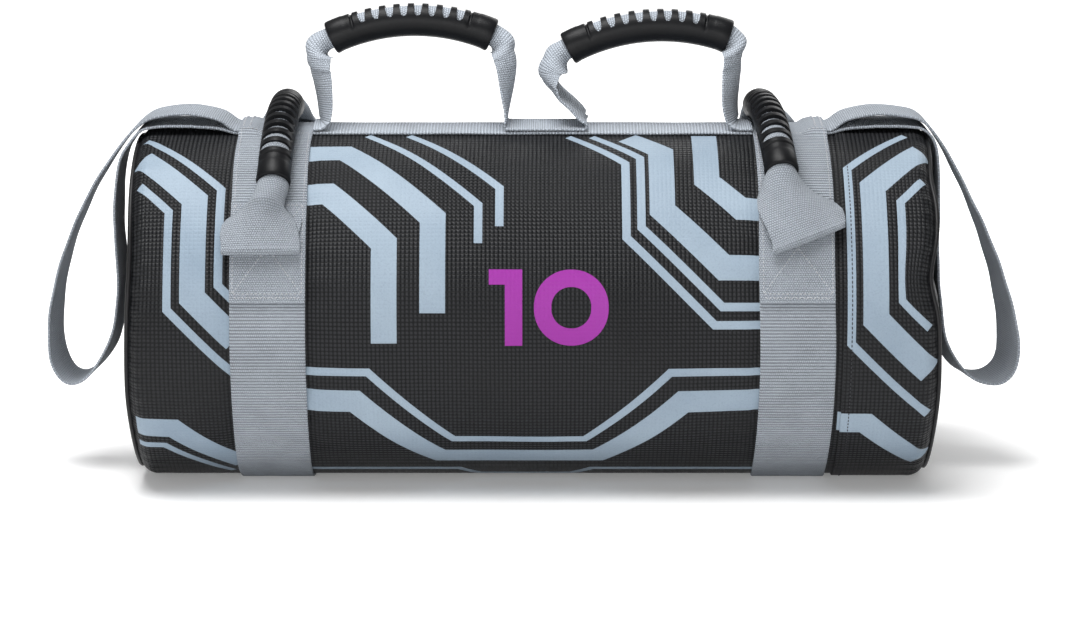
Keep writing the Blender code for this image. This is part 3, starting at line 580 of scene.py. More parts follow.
# Printed stripes on the skin: half-width, then the corners of its middle line, as distance along
# the bag and round it from its top, in millimetres. They run straight or at 45 degrees, and the back has
# the same ones.
STRIPES = (
    (8.5, (-152, 238), (-118, 238), (-62, 294), (44, 294), (100, 238), (152, 238)),
    (2.8, (-152, 216), (-109, 216), (-53, 272), (35, 272), (91, 216), (152, 216)),
    (8.5, (-152, 52), (-126, 52), (-66, 112), (-66, 176)),
    (8.5, (-152, 92), (-136, 92), (-98, 130), (-98, 196)),
    (2.8, (-112, 26), (-36, 102), (-36, 130)),
    (2.8, (-84, 26), (-22, 88), (-22, 118)),
    (8.5, (152, 146), (126, 146), (86, 106), (86, 52), (64, 30)),
    (8.5, (152, 104), (138, 104), (116, 82), (116, 26)),
    (2.8, (152, 184), (120, 184), (62, 126), (62, 66), (24, 28)),
    (2.8, (152, 172), (125, 172), (72, 119), (72, 60), (40, 28)),
    (8.5, (-262, 60), (-224, 98), (-224, 166), (-196, 194)),
    (2.8, (-262, 86), (-241, 107), (-241, 174), (-196, 219)),
    (2.8, (-262, 34), (-207, 89), (-207, 158), (-196, 169)),
    (8.5, (-264, 262), (-240, 262), (-196, 306)),
    (2.8, (-264, 280), (-247, 280), (-204, 323)),
    (8.5, (262, 52), (226, 88), (226, 180), (262, 216)),
    (2.8, (262, 82), (244, 100), (244, 168), (262, 186)),
    (2.8, (252, 30), (210, 72), (210, 196), (262, 248)),
    (8.5, (203, 256), (222, 256), (262, 296)),
    (2.8, (-196, 318), (-50, 318), (-36, 332), (26, 332), (40, 318), (196, 318)),
)


def stripe_boxes():
    """Each straight run of a stripe as (turned, its two middles, its two half-lengths).

    Turned runs are given on axes at 45 degrees. Where two runs meet, each is longer by the
    half-width times the tangent of half their turn, so that their outer corners fall together.
    """
    root = math.sqrt(0.5)
    boxes = []
    for half, *corners in STRIPES:
        half, corners = half / 1000, [(x / 1000, s / 1000) for x, s in corners]
        mitre = half * math.tan(math.pi / 8)
        for i, ((x0, s0), (x1, s1)) in enumerate(zip(corners, corners[1:])):
            dx, ds = x1 - x0, s1 - s0
            before = mitre if i else 0
            after = mitre if i + 2 < len(corners) else 0
            length = math.hypot(dx, ds)
            ux, us = dx / length, ds / length
            mx = (x0 - ux * before + x1 + ux * after) / 2
            ms = (s0 - us * before + s1 + us * after) / 2
            reach = (length + before + after) / 2
            straight = min(abs(ds), abs(dx)) < 1e-6
            on_first = abs(ds) < 1e-6 if straight else dx * ds > 0
            middles = (mx, ms) if straight else ((mx + ms) * root, (ms - mx) * root)
            boxes.append((not straight, middles, (reach, half) if on_first else (half, reach)))
    return boxes


# The fabric's black ground, painted darker between its raised dots and lighter on them as painted shade
# and highlight; darkest and lightest shade of its print; and the number's colour
GROUND_SHADE_AND_DOT_HIGHLIGHT = ((0.0020, 0.0023, 0.0030, 1), (0.021, 0.022, 0.0245, 1))
INK = ((0.225, 0.288, 0.356, 1), (0.288, 0.356, 0.424, 1))
NUMBER_INK = (0.27, 0.028, 0.28, 1)
DOT_PITCH = 0.0028
# The number: its middle round the bag, half its height, its stroke, its figures' middles along the
# bag, its flag's size and place before the stem, and the 0's half-width and corner
NUMBER_MIDDLE = 1.425 * BAG_RADIUS
NUMBER_HALF, STROKE = 0.0250, 0.0115
STEM_X, NOUGHT_X = -0.0125, 0.0255
FLAG_HALF, FLAG_HALF_HEIGHT, FLAG_BEFORE = 0.0085, 0.0050, 0.0078
NOUGHT_HALF, NOUGHT_CORNER = 0.0246, 0.0185


def skin_finish():
    """Coated fabric: black with small raised dots in rows, printed stripes and a plain number.

    A stripe's run is where the distances from its middle on its own two axes are both less than its
    half-lengths. The number's 1 is a bar with a short flag; its 0 is the band within half a stroke
    of a rounded box.
    """
    made = Finish("coated_fabric", 0.46, 0.17)
    place, around = made.cloth()
    side = abs(around)
    root = math.sqrt(0.5)
    axes = ((place, side), ((place + side) * root, (side - place) * root))

    def within(spots, middles, reaches):
        """1 where both distances from the middles are within the reaches, and 0 elsewhere."""
        first, second = (made.sum("COMPARE", *values) for values in zip(spots, middles, reaches))
        return first * second

    printed = None
    for turned, middles, reaches in stripe_boxes():
        inside = within(axes[turned], middles, reaches)
        printed = made.sum("MAXIMUM", printed, inside) if printed else inside

    one = within((place, around), (STEM_X, NUMBER_MIDDLE), (STROKE / 2, NUMBER_HALF))
    flag_middle = (STEM_X - FLAG_BEFORE, NUMBER_MIDDLE - NUMBER_HALF + FLAG_HALF_HEIGHT)
    flag = within((place, around), flag_middle, (FLAG_HALF, FLAG_HALF_HEIGHT))
    far = [
        made.sum("MAXIMUM", abs(spot - middle) - (half - STROKE / 2 - NOUGHT_CORNER), 0)
        for spot, middle, half in ((place, NOUGHT_X, NOUGHT_HALF), (around, NUMBER_MIDDLE, NUMBER_HALF))
    ]
    reach = made.sum("SQRT", far[0] * far[0] + far[1] * far[1])
    nought = made.sum("COMPARE", reach, NOUGHT_CORNER, STROKE / 2)
    number = made.sum("MAXIMUM", made.sum("MAXIMUM", one, flag), nought)

    dot_u, dot_v = (made.sum("SINE", spot * (math.pi / DOT_PITCH)) for spot in (place, around))
    dots = made.sum("POWER", abs(dot_u * dot_v), 0.9)
    cloud, fine = made.noise(14, 3), made.noise(900)
    shade = made.between(cloud, 0.7, 1.3, *NOISE_RANGE)
    # The ground is painted lighter on the dots' tops and darker between them, as painted highlight and
    # painted shade of the emboss, with cloudy tone
    ground = made.mix(made.between(dots, 0, 1, 0.15, 1.0) * shade, *GROUND_SHADE_AND_DOT_HIGHLIGHT)
    ink = made.mix(made.between(cloud, 0, 1, *NOISE_RANGE), *INK)
    worn = printed * made.between(fine, 0.88, 1, 0.25, 0.5)
    made.look("Base Color", made.mix(number, made.mix(worn, ground, ink), NUMBER_INK))
    made.look("Roughness", made.between(cloud, 0.38, 0.52, *NOISE_RANGE))
    flat = made.sum("MAXIMUM", printed, number) * 0.75
    made.relief(dots * made.sum("SUBTRACT", 1, flat) + fine * 0.12, 0.00045)
    return made.material


def plain_finish(name, colour, roughness, depth, scale, specular=0.5):
    """One colour with a cloudy change of shade, and a fine grain of this scale and depth."""
    made = Finish(name, roughness, specular)
    cloud, fine = made.noise(60, 3), made.noise(scale, 3)
    dark = tuple(part * 0.82 for part in colour[:3]) + (1,)
    made.look("Base Color", made.mix(made.between(cloud, 0, 1, *NOISE_RANGE), dark, colour))
    made.look("Roughness", made.between(fine, roughness * 0.9, min(roughness * 1.12, 1), *NOISE_RANGE))
    made.relief(fine, depth)
    return made.material


# One webbing in lit and shaded copies: the strip is the bands' webbing painted lighter for its lit top, and
# the loops and flaps (patches, tails and the band handles' straps) are the straps' webbing painted darker, as
# painted shade
BAND_WEB = webbing_finish("band_webbing", 0.0022, 0.43)
STRIP_WEB_PAINTED_LIT = webbing_finish("strip_webbing_painted_lit", 0.0022, 0.54, (0.66, 1.16))
STRAP_WEB = webbing_finish("strap_webbing", 0.0015, 0.50, (0.50, 1.32), **FINE_WEAVE)
LOOP_WEB_PAINTED_SHADE = webbing_finish("loop_webbing_painted_shade", 0.0015, 0.40, (0.50, 1.32), **FINE_WEAVE)
FLAP_WEB_PAINTED_SHADE = webbing_finish("flap_webbing_painted_shade", 0.0015, 0.37, (0.46, 1.34), **FINE_WEAVE)
SKIN = skin_finish()
RUBBER = plain_finish("grip_rubber", (0.0042, 0.0045, 0.0055, 1), 0.42, 0.00006, 1400, 0.17)
PIPING = plain_finish("piping", (0.010, 0.010, 0.011, 1), 0.45, 0.0001, 900, 0.25)
THREAD = plain_finish("thread", (0.45, 0.46, 0.49, 1), 0.6, 0.00005, 2500, 0.3)
DARK_THREAD = plain_finish("dark_thread", (0.03, 0.03, 0.035, 1), 0.6, 0.00005, 2500, 0.3)
FILLING = plain_finish("filling", (0.50, 0.47, 0.42, 1), 0.95, 0.0008, 180, 0.2)
LINER = plain_finish("sand_liner", (0.58, 0.51, 0.39, 1), 0.6, 0.0003, 260)


# Skin, ends and filling

# How far the skin swells between the bands and beyond them, and how deep its folds and creases are
SWELL_BETWEEN, SWELL_BEYOND, FOLD_DEPTH, CREASE_DEPTH = 0.0016, 0.0013, 0.00055, 0.0005
PINCH_DEPTH, PINCH_SPREAD, CREASE_SPREAD = 0.0010, 0.004, 0.020


def swell(x, angle):
    """How far the filling pushes the skin out, in metres.

    It is full between the bands and none under them, under the top strip and on the floor. Waves
    make soft folds, and a few creases run in from the bands.
    """
    free = ease((np.abs(angle) - 0.24) / 0.35) * ease((2.55 - np.abs(angle)) / 0.35)
    mid = np.clip(1 - (x / BAND_EDGE) ** 6, 0, 1) * SWELL_BETWEEN
    outer = np.clip((np.abs(x) - BAND_X - WEB_HALF) / 0.066, 0, 1)
    end = SWELL_BEYOND * np.sin(math.pi * outer) ** 0.7
    pinch = -PINCH_DEPTH * sum(bump(np.abs(x), edge, PINCH_SPREAD) for edge in (BAND_EDGE, BAND_X + WEB_HALF))
    folds = waves(x, angle * BAG_RADIUS, 5, 9, 0.16, 0.050) * FOLD_DEPTH
    creases = CREASE_DEPTH * np.sin(angle * 34 + 2.2 * np.sin(x * 30))
    creases = creases * bump(np.abs(x), BAND_EDGE, CREASE_SPREAD)
    return (mid + end + folds + creases) * free + pinch * free


def rounded_end(radius, start, stop, steps):
    """The bag's end corner as (x, radius): a quarter ellipse from the tube (0) to the end (90)."""
    turn = np.linspace(start, stop, steps)
    x = RIM_X - CORNER_LENGTH * (1 - np.sin(turn))
    return np.stack([x, radius - CORNER_DROP * (1 - np.cos(turn))], -1)


def puckers(angle, reach):
    """Small gathers where the end seam draws the fabric in, in metres."""
    return 0.0005 * reach * np.sin(angle * 58 + 1.5 * np.sin(angle * 7))


def bag_piece(piece, slot, *nodes, fill=None):
    """A piece that stays on the bag and stands for these nodes. The fill is not used."""
    if nodes:
        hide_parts(*nodes)
    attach(piece, "bag")


# How many points lie round the skin, the end panels, the piping and the filling
SKIN_POINTS, PANEL_POINTS, PIPING_POINTS, FILLING_POINTS = 288, 192, 240, 96
# How uneven an end panel is, and how deep the gathers at its seam are
PANEL_SLACK, PANEL_GATHER = 0.0009, 0.0006
SKIN_FILL, INSIDE_FILL = 0.8, 0.9
# How uneven the filling's and the sand's surfaces are
FILLING_LUMPS, SAND_LUMPS = 0.0006, 0.0008


def walled_turn(name, outer):
    """A profile of (x, radius) turned round the bag's axis and settled, with the skin's wall."""
    slope = np.gradient(outer, axis=0)
    normal = np.stack([-slope[:, 1], slope[:, 0]], -1) / np.hypot(slope[:, 0], slope[:, 1])[:, None]
    angle = all_round(SKIN_POINTS)[:, None]
    x, radius = outer[:, 0][None], outer[:, 1][None]
    raise_by = swell(x, angle) + puckers(angle, bump(np.abs(x), RIM_X - 0.006, 0.010))
    outside = hollows(on_bag(x, radius + raise_by, angle))
    inner = outer - normal * SHELL_WALL
    inside = hollows(on_bag(inner[:, 0][None], inner[:, 1][None] + raise_by, angle))
    points = np.concatenate([outside, inside[:, ::-1]], 1)
    place = np.concatenate([x[0], x[0][::-1], x[0][:1]])
    turn = np.linspace(-math.pi, math.pi, SKIN_POINTS + 1)
    uv = together(place[None], turn[:, None] * BAG_RADIUS)
    return surface(name, points, uv, SKIN, ring_rows=True, sharp=50)


# How far each side of the end seam, as an angle, the fabric's two edges lie
SEAM_MARGIN = math.radians(7)


def make_skin():
    """The printed tube, the cuff lapped over it at the right, the end panels and their piping."""
    seam = SEAM_ANGLE - SEAM_MARGIN
    corner = rounded_end(BAG_RADIUS, 0, seam, 9)
    corner[:, 0] *= -1
    straight = np.linspace(-RIM_X + CORNER_LENGTH, CUFF_START + CUFF_LAP, 130)[1:]
    tube = np.vstack([corner[::-1], together(straight, BAG_RADIUS)])
    bag_piece(walled_turn("skin_tube", tube), "coated_fabric", "shell_main", fill=SKIN_FILL)
    straight = np.linspace(CUFF_START, RIM_X - CORNER_LENGTH, 20)[:-1]
    cuff = np.vstack([together(straight, CUFF_OUTER), rounded_end(CUFF_OUTER, 0, seam, 9)])
    bag_piece(walled_turn("skin_cuff", cuff), "coated_fabric", "shell_cuff", fill=SKIN_FILL)
    for (side, sign), radius in zip(SIDES, (BAG_RADIUS, CUFF_OUTER)):
        edge = rounded_end(radius, SEAM_ANGLE + SEAM_MARGIN, math.pi / 2, 5)
        rim = radius - CORNER_DROP
        share = np.linspace(1, 0.02, 28)[1:]
        face = np.vstack([edge, together(HALF_LENGTH - DOME_RISE * share**2, rim * share)])
        angle = all_round(PANEL_POINTS)[None]
        place, reach = face[:, 0][:, None], face[:, 1][:, None]
        slack = waves(reach * np.cos(angle), reach * np.sin(angle), 8, 7, 0.12, 0.04)
        level = PANEL_SLACK * slack * ease((rim - reach) / 0.03)
        level = level - PANEL_GATHER * bump(reach, rim - 0.004, 0.006) * (1 + np.sin(angle * 46)) / 2
        outside = on_bag(place + level, reach, angle)
        inside = on_bag(place + level - SHELL_WALL, reach, angle)
        points = np.concatenate([outside[::-1], inside], 0)
        points[..., 0] *= sign
        radial = np.concatenate([reach[::-1], reach])
        turn = np.linspace(-math.pi, math.pi, PANEL_POINTS + 1)[None]
        uv = together(0.36 + radial * np.sin(turn), 0.5 + radial * np.cos(turn))
        panel = surface(f"end_panel_{side}", hollows(points), uv, SKIN, sharp=60)
        bag_piece(panel, "coated_fabric", f"end_disc_{side}", fill=SKIN_FILL)
        seam_x, seam_radius = rounded_end(radius, SEAM_ANGLE, SEAM_ANGLE, 1)[0]
        seam_x += PIPING_PROUD * math.sin(SEAM_ANGLE)
        seam_radius += PIPING_PROUD * math.cos(SEAM_ANGLE)
        turn = np.linspace(0, 2 * math.pi, 12, endpoint=False)[None]
        x, away = seam_x + PIPING_RADIUS * np.cos(turn), seam_radius + PIPING_RADIUS * np.sin(turn)
        cord = on_bag(x, away, all_round(PIPING_POINTS)[:, None])
        cord[..., 0] *= sign
        along = np.linspace(0, 0.76, PIPING_POINTS + 1)[:, None]
        uv = together(np.linspace(0, 0.01, 13)[None], along)
        welt = surface(f"piping_{side}", hollows(cord), uv, PIPING, ring_rows=True)
        bag_piece(welt, "piping", f"end_piping_{side}")


def make_filling():
    """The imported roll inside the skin, with the sand's liner in its middle."""
    gap = SHELL_WALL + 0.0024
    corner = rounded_end(BAG_RADIUS, 0, math.pi / 2, 7)
    half = np.vstack([corner, [[HALF_LENGTH - DOME_RISE * 0.16, CORE_RADIUS + 0.004]]])
    both = np.vstack([half[::-1] * (-1, 1), half])
    both = np.vstack([both[:7], together(np.linspace(-0.24, 0.24, 60), BAG_RADIUS), both[-7:]])
    both = both * ((HALF_LENGTH - 0.0040) / HALF_LENGTH, 1) - (0, gap)
    angle = all_round(FILLING_POINTS)[None]
    place, reach = both[:, 0][:, None], both[:, 1][:, None]
    lumps = waves(place, angle * BAG_RADIUS, 3, 8, 0.12, 0.04)
    points = hollows(on_bag(place, reach + FILLING_LUMPS * lumps, angle))
    uv = together(place, np.linspace(-0.38, 0.38, FILLING_POINTS + 1)[None])
    roll = surface("filling_roll", points, uv, FILLING)
    bag_piece(roll, "filling", "filler_roll", fill=INSIDE_FILL)
    end = HALF_LENGTH - 0.010
    x = np.concatenate([[-end, -end], np.linspace(-end + 0.004, end - 0.004, 60), [end, end]])[:, None]
    taper = [0.004, CORE_RADIUS - 0.006]
    radius = np.concatenate([taper, np.full(60, CORE_RADIUS), taper[::-1]])[:, None]
    lumps = waves(x, angle * CORE_RADIUS, 4, 8, 0.09, 0.03)
    points = on_bag(x, radius - 0.0010 + SAND_LUMPS * lumps * (radius > 0.03), angle)
    liner = surface("sand_bag", points, uv[: len(x)], LINER)
    bag_piece(liner, "sand_liner", "sand_core", fill=INSIDE_FILL)


# Webbing sewn flat on the bag

def over_loop(t, angle):
    """How far a band stands up over the loop's two strands tucked under its outer edge, in metres.

    t runs across the band, from -1 to 1 at its outer edge.
    """
    return (2 * WEB_THICK + SEAT_GAP) * ease((t - 0.26) / 0.36) * (1 - ease((np.abs(angle) - 0.205) / 0.075))


# How far the edges of sewn webbing wander, and how uneven its faces are
EDGE_WANDER, FACE_WANDER = 0.0004, 0.00012


def sewn_round(name, x, middle, start, stop, material, closed=False):
    """Webbing that lies round the bag's girth, its length along the girth.

    Its edges wander by a fraction of a millimetre, and its height by less, both as sums of waves.
    """
    share, edge, height = web_profile(12)
    steps = 240 if closed else max(int((stop - start) * middle / 0.0022), 6)
    angle = np.linspace(start, stop, steps, endpoint=not closed)[:, None]
    across = share * (WEB_HALF - WEB_THICK / 2) + edge
    ring = waves(np.sin(angle) * 0.11, np.cos(angle) * 0.11, int(1000 * (x + 1)), 5, 0.14, 0.05)
    level = middle + height[None] + FACE_WANDER * waves(across[None], angle * middle, 12, 5, 0.08, 0.03)
    if closed:
        level = level + over_loop(share[None] * np.sign(x), angle)
    points = on_bag(x + across[None] + EDGE_WANDER * ring, level, angle)
    v = np.linspace(start, stop, steps + (1 if closed else 0))[:, None] * middle
    return web_surface(name, points, across, v, material, closed)


def sewn_along(name, start, stop, middle, material):
    """Webbing that lies along the bag's top, its length along the bag."""
    share, edge, height = web_profile(12)
    across = share * (WEB_HALF - WEB_THICK / 2) + edge
    x = np.linspace(start, stop, max(int((stop - start) / 0.003), 4))[:, None]
    level = middle + height[None] + FACE_WANDER * waves(x, across[None], 21, 5, 0.08, 0.03)
    points = on_bag(x, level, across[None] / BAND_OUTER)
    return web_surface(name, points, across, x, material)


def make_bands():
    """The two girth bands, the top strip, and the patches and tails sewn over the bands."""
    patch, tail = PATCH_LENGTH / SECOND_OUTER, REAR_TAIL_LENGTH / THIRD_OUTER
    for side, sign in SIDES:
        for name, node, middle, start, stop, material in (
            ("girth_band", "band_{}", BAND_MIDDLE, -math.pi, math.pi, BAND_WEB),
            ("front_patch", "patch_{}_front", SECOND_MIDDLE, PATCH_ANGLE, PATCH_ANGLE + patch, FLAP_WEB_PAINTED_SHADE),
            ("back_patch", "patch_{}_back", SECOND_MIDDLE, -PATCH_ANGLE - patch, -PATCH_ANGLE, FLAP_WEB_PAINTED_SHADE),
            ("rear_end", "rear_tail_{}", THIRD_MIDDLE, REAR_TAIL_ANGLE - tail, REAR_TAIL_ANGLE, FLAP_WEB_PAINTED_SHADE),
        ):
            closed = material is BAND_WEB
            piece = sewn_round(f"{name}_{side}", sign * BAND_X, middle, start, stop, material, closed)
            bag_piece(piece, "webbing", node.format(side))
    strip = sewn_along("strip_on_top", -BAND_EDGE + SEAT_GAP, BAND_EDGE - SEAT_GAP, BAND_MIDDLE, STRIP_WEB_PAINTED_LIT)
    bag_piece(strip, "webbing", "top_strip")


# Stitching

def threads(name, start, stop, out, material, radius=0.00036):
    """Stitches as short threads, from start to stop, that rise out of the cloth and dip back in.

    Each has five rings of six points: its height over the cloth follows half a sine, and its radius
    tapers to its ends.
    """
    share = np.array((0, 0.2, 0.5, 0.8, 1))
    girth = radius * np.array((0.5, 0.9, 1, 0.9, 0.5))
    run = stop - start
    side = np.cross(run, out)
    side = side / np.linalg.norm(side, axis=1)[:, None]
    axis = start[:, None] + run[:, None] * share[:, None]
    axis = axis + out[:, None] * (radius * (1.1 * np.sin(math.pi * share) - 0.5))[:, None]
    turn = np.arange(6) * math.pi / 3
    points = axis[:, :, None] + side[:, None, None] * (girth[:, None] * np.cos(turn))[..., None]
    points = points + out[:, None, None] * (girth[:, None] * np.sin(turn))[..., None]
    ring = np.arange(5)[:4, None] * 6 + np.arange(6)[None]
    after = np.arange(5)[:4, None] * 6 + (np.arange(6)[None] + 1) % 6
    faces = np.stack([ring, ring + 6, after + 6, after], -1).reshape(-1, 4)
    faces = np.vstack([faces, [(0, 1, 2, 3), (0, 3, 4, 5), (27, 26, 25, 24), (29, 28, 27, 24)]])
    faces = (faces[None] + 30 * np.arange(len(start))[:, None, None]).reshape(-1, 4)
    mesh = bpy.data.meshes.new(name)
    mesh.from_pydata(points.reshape(-1, 3), [], faces.tolist())
    mesh.shade_smooth()
    mesh.materials.append(material)
    return add_object(name, mesh)


def stitched(name, tracks, level, pitch=0.0027, length=0.0019, slant=0, lift=None, material=THREAD):
    """Rows of stitches on the bag, along tracks of corners (place along the bag, distance round it).

    Each track is walked in steps of the pitch. A slant turns every other stitch the other way.
    """
    begins, ends = [], []
    for track in tracks:
        corners = np.array(track, float)
        for near, far in zip(corners[:-1], corners[1:]):
            reach = np.linalg.norm(far - near)
            count = max(int(reach / pitch), 1)
            middle = near + (far - near) * ((np.arange(count) + 0.5) / count)[:, None]
            way = (far - near) / reach
            turn = slant * (1 - 2 * (np.arange(count) % 2))
            cos, sin = np.cos(turn), np.sin(turn)
            half = together(way[0] * cos - way[1] * sin, way[0] * sin + way[1] * cos)
            begins.append(middle - half * length / 2)
            ends.append(middle + half * length / 2)
    begins, ends = np.vstack(begins), np.vstack(ends)

    def placed(spots, rise):
        """These spots on the bag, raised over the cloth."""
        angle = spots[:, 1] / level
        raised = lift(spots[:, 0], angle) if lift else 0
        return on_bag(spots[:, 0], level + rise + raised, angle)

    out = placed((begins + ends) / 2, 0.001) - placed((begins + ends) / 2, 0)
    out = out / np.linalg.norm(out, axis=1)[:, None]
    bag_piece(threads(name, placed(begins, 0), placed(ends, 0), out, material), "webbing")


def boxed(x, half, start, stop):
    """Tracks of a box of stitches round (x, start..stop), with a cross in it."""
    left, right = x - half, x + half
    ring = ((left, start), (right, start), (right, stop), (left, stop), (left, start))
    return [ring, ring[0:3:2], ring[1:4:2]]


# How far stitches lie in from the webbing's edges
STITCH_INSET = 0.0022
# Pitch, length and slant of the stitches that aren't plain ones
EDGE_STITCH = (0.0024, 0.0022, 0.55)
LOOP_STITCH = (0.0026, 0.0024, 0.5)
TAB_STITCH = (0.0024, 0.0026, 0.6)
CUFF_STITCH = (0.0030, 0.0024, 0)
# Half-lengths of the rows across the loops' ends and across and along the centre tab
LOOP_ROW, TAB_ROW, TAB_EDGE_ROW = 0.0235, 0.0215, 0.0222


def make_stitching():
    """The rows that hold the patches, the bands' upper part, the top strip's tab and the cuff."""
    inner = WEB_HALF - STITCH_INSET
    for side, sign in SIDES:
        x = sign * BAND_X

        def raised(spot, angle, x=x, sign=sign):
            """How far the loop under this band lifts its stitches."""
            return over_loop((spot - x) / WEB_HALF * sign, angle)

        for face, way in (("front", 1), ("back", -1)):
            first = PATCH_ANGLE * SECOND_OUTER + 0.0026
            last = PATCH_ANGLE * SECOND_OUTER + PATCH_LENGTH - 0.0056
            stitched(f"patch_stitches_{side}_{face}", boxed(x, inner, way * first, way * last), SECOND_OUTER)
            below = way * (last + 0.0026)
            tracks = [((x - WEB_HALF + 0.003, below), (x + WEB_HALF - 0.003, below))]
            stitched(f"patch_edge_stitches_{side}_{face}", tracks, SECOND_OUTER, *EDGE_STITCH)
            start, stop = way * (0.215 * BAND_OUTER), way * (PATCH_ANGLE * BAND_OUTER - 0.001)
            rows = [((x + e * inner, start), (x + e * inner, stop)) for e in (-1, 1)]
            rows.append(((x - inner, start), (x + inner, start)))
            stitched(f"band_stitches_{side}_{face}", rows, BAND_OUTER, lift=raised)
        tail = REAR_TAIL_ANGLE * THIRD_OUTER
        box = boxed(x, inner, tail - REAR_TAIL_LENGTH + STITCH_INSET, tail - 0.004)
        stitched(f"rear_stitches_{side}", box, THIRD_OUTER)
        edge = sign * (BAND_X + WEB_HALF)
        spots = (edge - sign * 0.0030, edge - sign * 0.0075)
        rows = [((spot, -LOOP_ROW), (spot, LOOP_ROW)) for spot in spots]
        stitched(f"loop_stitches_{side}", rows, BAND_OUTER, *LOOP_STITCH, raised)
    low, high = CENTRE_TAB_LEFT - 0.001, RIGHT_FOOT_X + 0.001
    rows = [((low + 0.003, side), (high - 0.003, side)) for side in (-TAB_EDGE_ROW, TAB_EDGE_ROW)]
    rows += [((spot, -TAB_ROW), (spot, TAB_ROW)) for spot in (low + 0.0045, high - 0.0045)]
    stitched("centre_tab_stitches", rows, SECOND_OUTER, *TAB_STITCH)
    spot, half = CUFF_START + 0.0052, math.pi * CUFF_OUTER
    stitched(
        "cuff_stitches", [((spot, -half), (spot, half))], CUFF_OUTER, *CUFF_STITCH,
        lift=lambda x, angle: swell(x, angle) - 0.0001, material=DARK_THREAD,
    )


# Grips

def grip_profile():
    """The grip's outline as (distance from its middle, radius): recess, chamfer, collar and body."""
    half = GRIP_LENGTH / 2
    ends = (
        (0.0120, CORE_HALF + SEAT_GAP), (0.0012, CORE_HALF + SEAT_GAP), (0.0002, CORE_HALF + 0.0008),
        (0, CORE_HALF + 0.0013), (0.0001, GRIP_RADIUS - 0.0010), (0.0006, COLLAR_RADIUS - 0.0004),
        (0.0016, COLLAR_RADIUS), (0.0060, COLLAR_RADIUS), (0.0110, COLLAR_RADIUS - 0.00005),
        (0.0121, COLLAR_RADIUS - 0.0003), (0.0126, GRIP_RADIUS),
    )
    inner = [(s, GRIP_RADIUS) for s in np.arange(-half + 0.0145, -half + 0.0195, 0.0012)]
    return [(s - half, radius) for s, radius in ends] + inner


def slot_rows():
    """Rows along the grip across its slots: place, and height of the slot's floor (none: 1).

    The floor rises from its middle with the fourth power of the distance, so that the slot is a
    round-bottomed U whose sides lean in a little.
    """
    rows = []
    half = SLOT_WIDTH / 2
    for i in range(SLOT_COUNT):
        middle = (i - (SLOT_COUNT - 1) / 2) * SLOT_PITCH
        rows.append((middle - half - 0.0004, 1))
        for share in np.sin(np.linspace(-math.pi / 2, math.pi / 2, 15)):
            rows.append((middle + share * (half - 0.00005), GRIP_RADIUS - SLOT_DEPTH + SLOT_RISE * share**4))
        rows.append((middle + half + 0.0004, 1))
        if i < SLOT_COUNT - 1:
            rows.append((middle + SLOT_PITCH / 2, 1))
    return rows


# Points round a grip: over its slots, and under them
GRIP_OVER, GRIP_UNDER = 28, 36


def make_grip(name, frame_of, body, *nodes):
    """A rubber grip: rings round its arc, their upper part cut down to the slots' floors.

    Where a slot is cut, a point at angle t whose height r sin t is above the floor h comes down to
    radius h / sin t, and the ring's columns are shared out again so that one stays on the slot's
    rim. The collar's step and the notch beside it fade out down the sides. frame_of gives the arc's
    centre and its three directions.
    """
    end = grip_profile()
    groove = (SLOT_COUNT - 1) / 2 * SLOT_PITCH + GROOVE_FROM_SLOT
    notch = [
        (-groove + share * NOTCH_WIDTH / 2, GRIP_RADIUS - NOTCH_DEPTH * (1 - share * share), 1)
        for share in (-1, -0.6, -0.25, 0, 0.25, 0.6, 1)
    ]
    left = [(s, r, 1) for s, r in end if s < -groove - NOTCH_WIDTH / 2 - 0.0002] + notch
    rows = left + [(s, GRIP_RADIUS, h) for s, h in slot_rows()] + [(-s, r, h) for s, r, h in reversed(left)]
    s, radius, floor = (np.array(column)[:, None] for column in zip(*rows))
    cut = floor < 1
    rim = np.arcsin(np.clip(np.where(cut, floor, GRIP_RADIUS - SLOT_DEPTH + SLOT_RISE) / GRIP_RADIUS, -1, 1))
    over, under = GRIP_OVER, GRIP_UNDER
    upper = np.linspace(0, 1, over, endpoint=False)[None]
    lower = np.linspace(0, 1, under, endpoint=False)[None]
    turn = np.hstack([rim + (math.pi - 2 * rim) * upper, math.pi - rim + (math.pi + 2 * rim) * lower])
    sine = np.maximum(np.sin(turn), 0.02)
    in_slot = cut & (np.arange(over + under)[None] < over)
    on_top = np.where(np.abs(s) < GRIP_LENGTH / 2 - 0.0018, ease((np.sin(turn) + 0.1) / 0.9), 1)
    radius = GRIP_RADIUS + (radius - GRIP_RADIUS) * on_top
    reach = np.where(in_slot, np.minimum(floor / sine, radius), radius)
    origin, along, side, up = (np.array(v) for v in frame_of)
    angle = (s / GRIP_BEND)[..., None]
    out = along * np.sin(angle) + up * np.cos(angle)
    points = origin + out * (GRIP_BEND + (reach * np.sin(turn)))[..., None]
    points = points + side * (reach * np.cos(turn))[..., None]
    u = np.linspace(0, 0.07, over + under + 1)[None]
    piece = surface(name, points, together(u, s), RUBBER, sharp=32)
    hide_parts(*nodes)
    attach(piece, body)


# Webbing of the handles

# How far a full roll is drawn in, from edge to edge
SPIRAL = 0.0026


def lifted_core(run):
    """How far the webbing is pushed up in the grip's slotted part, this far from its middle."""
    return CORE_LIFT * (1 - ease((np.abs(run) - 0.0350) / 0.0140))


def top_frame(middle_x, middle_z, tilt):
    """Centre and directions of an upright grip's arc."""
    along = np.array((math.cos(tilt), 0, math.sin(tilt)))
    up = np.array((-math.sin(tilt), 0, math.cos(tilt)))
    middle = np.array((middle_x, 0, middle_z))
    return middle - up * GRIP_BEND * math.cos(GRIP_HALF_ANGLE), along, np.array((0, 1, 0)), up


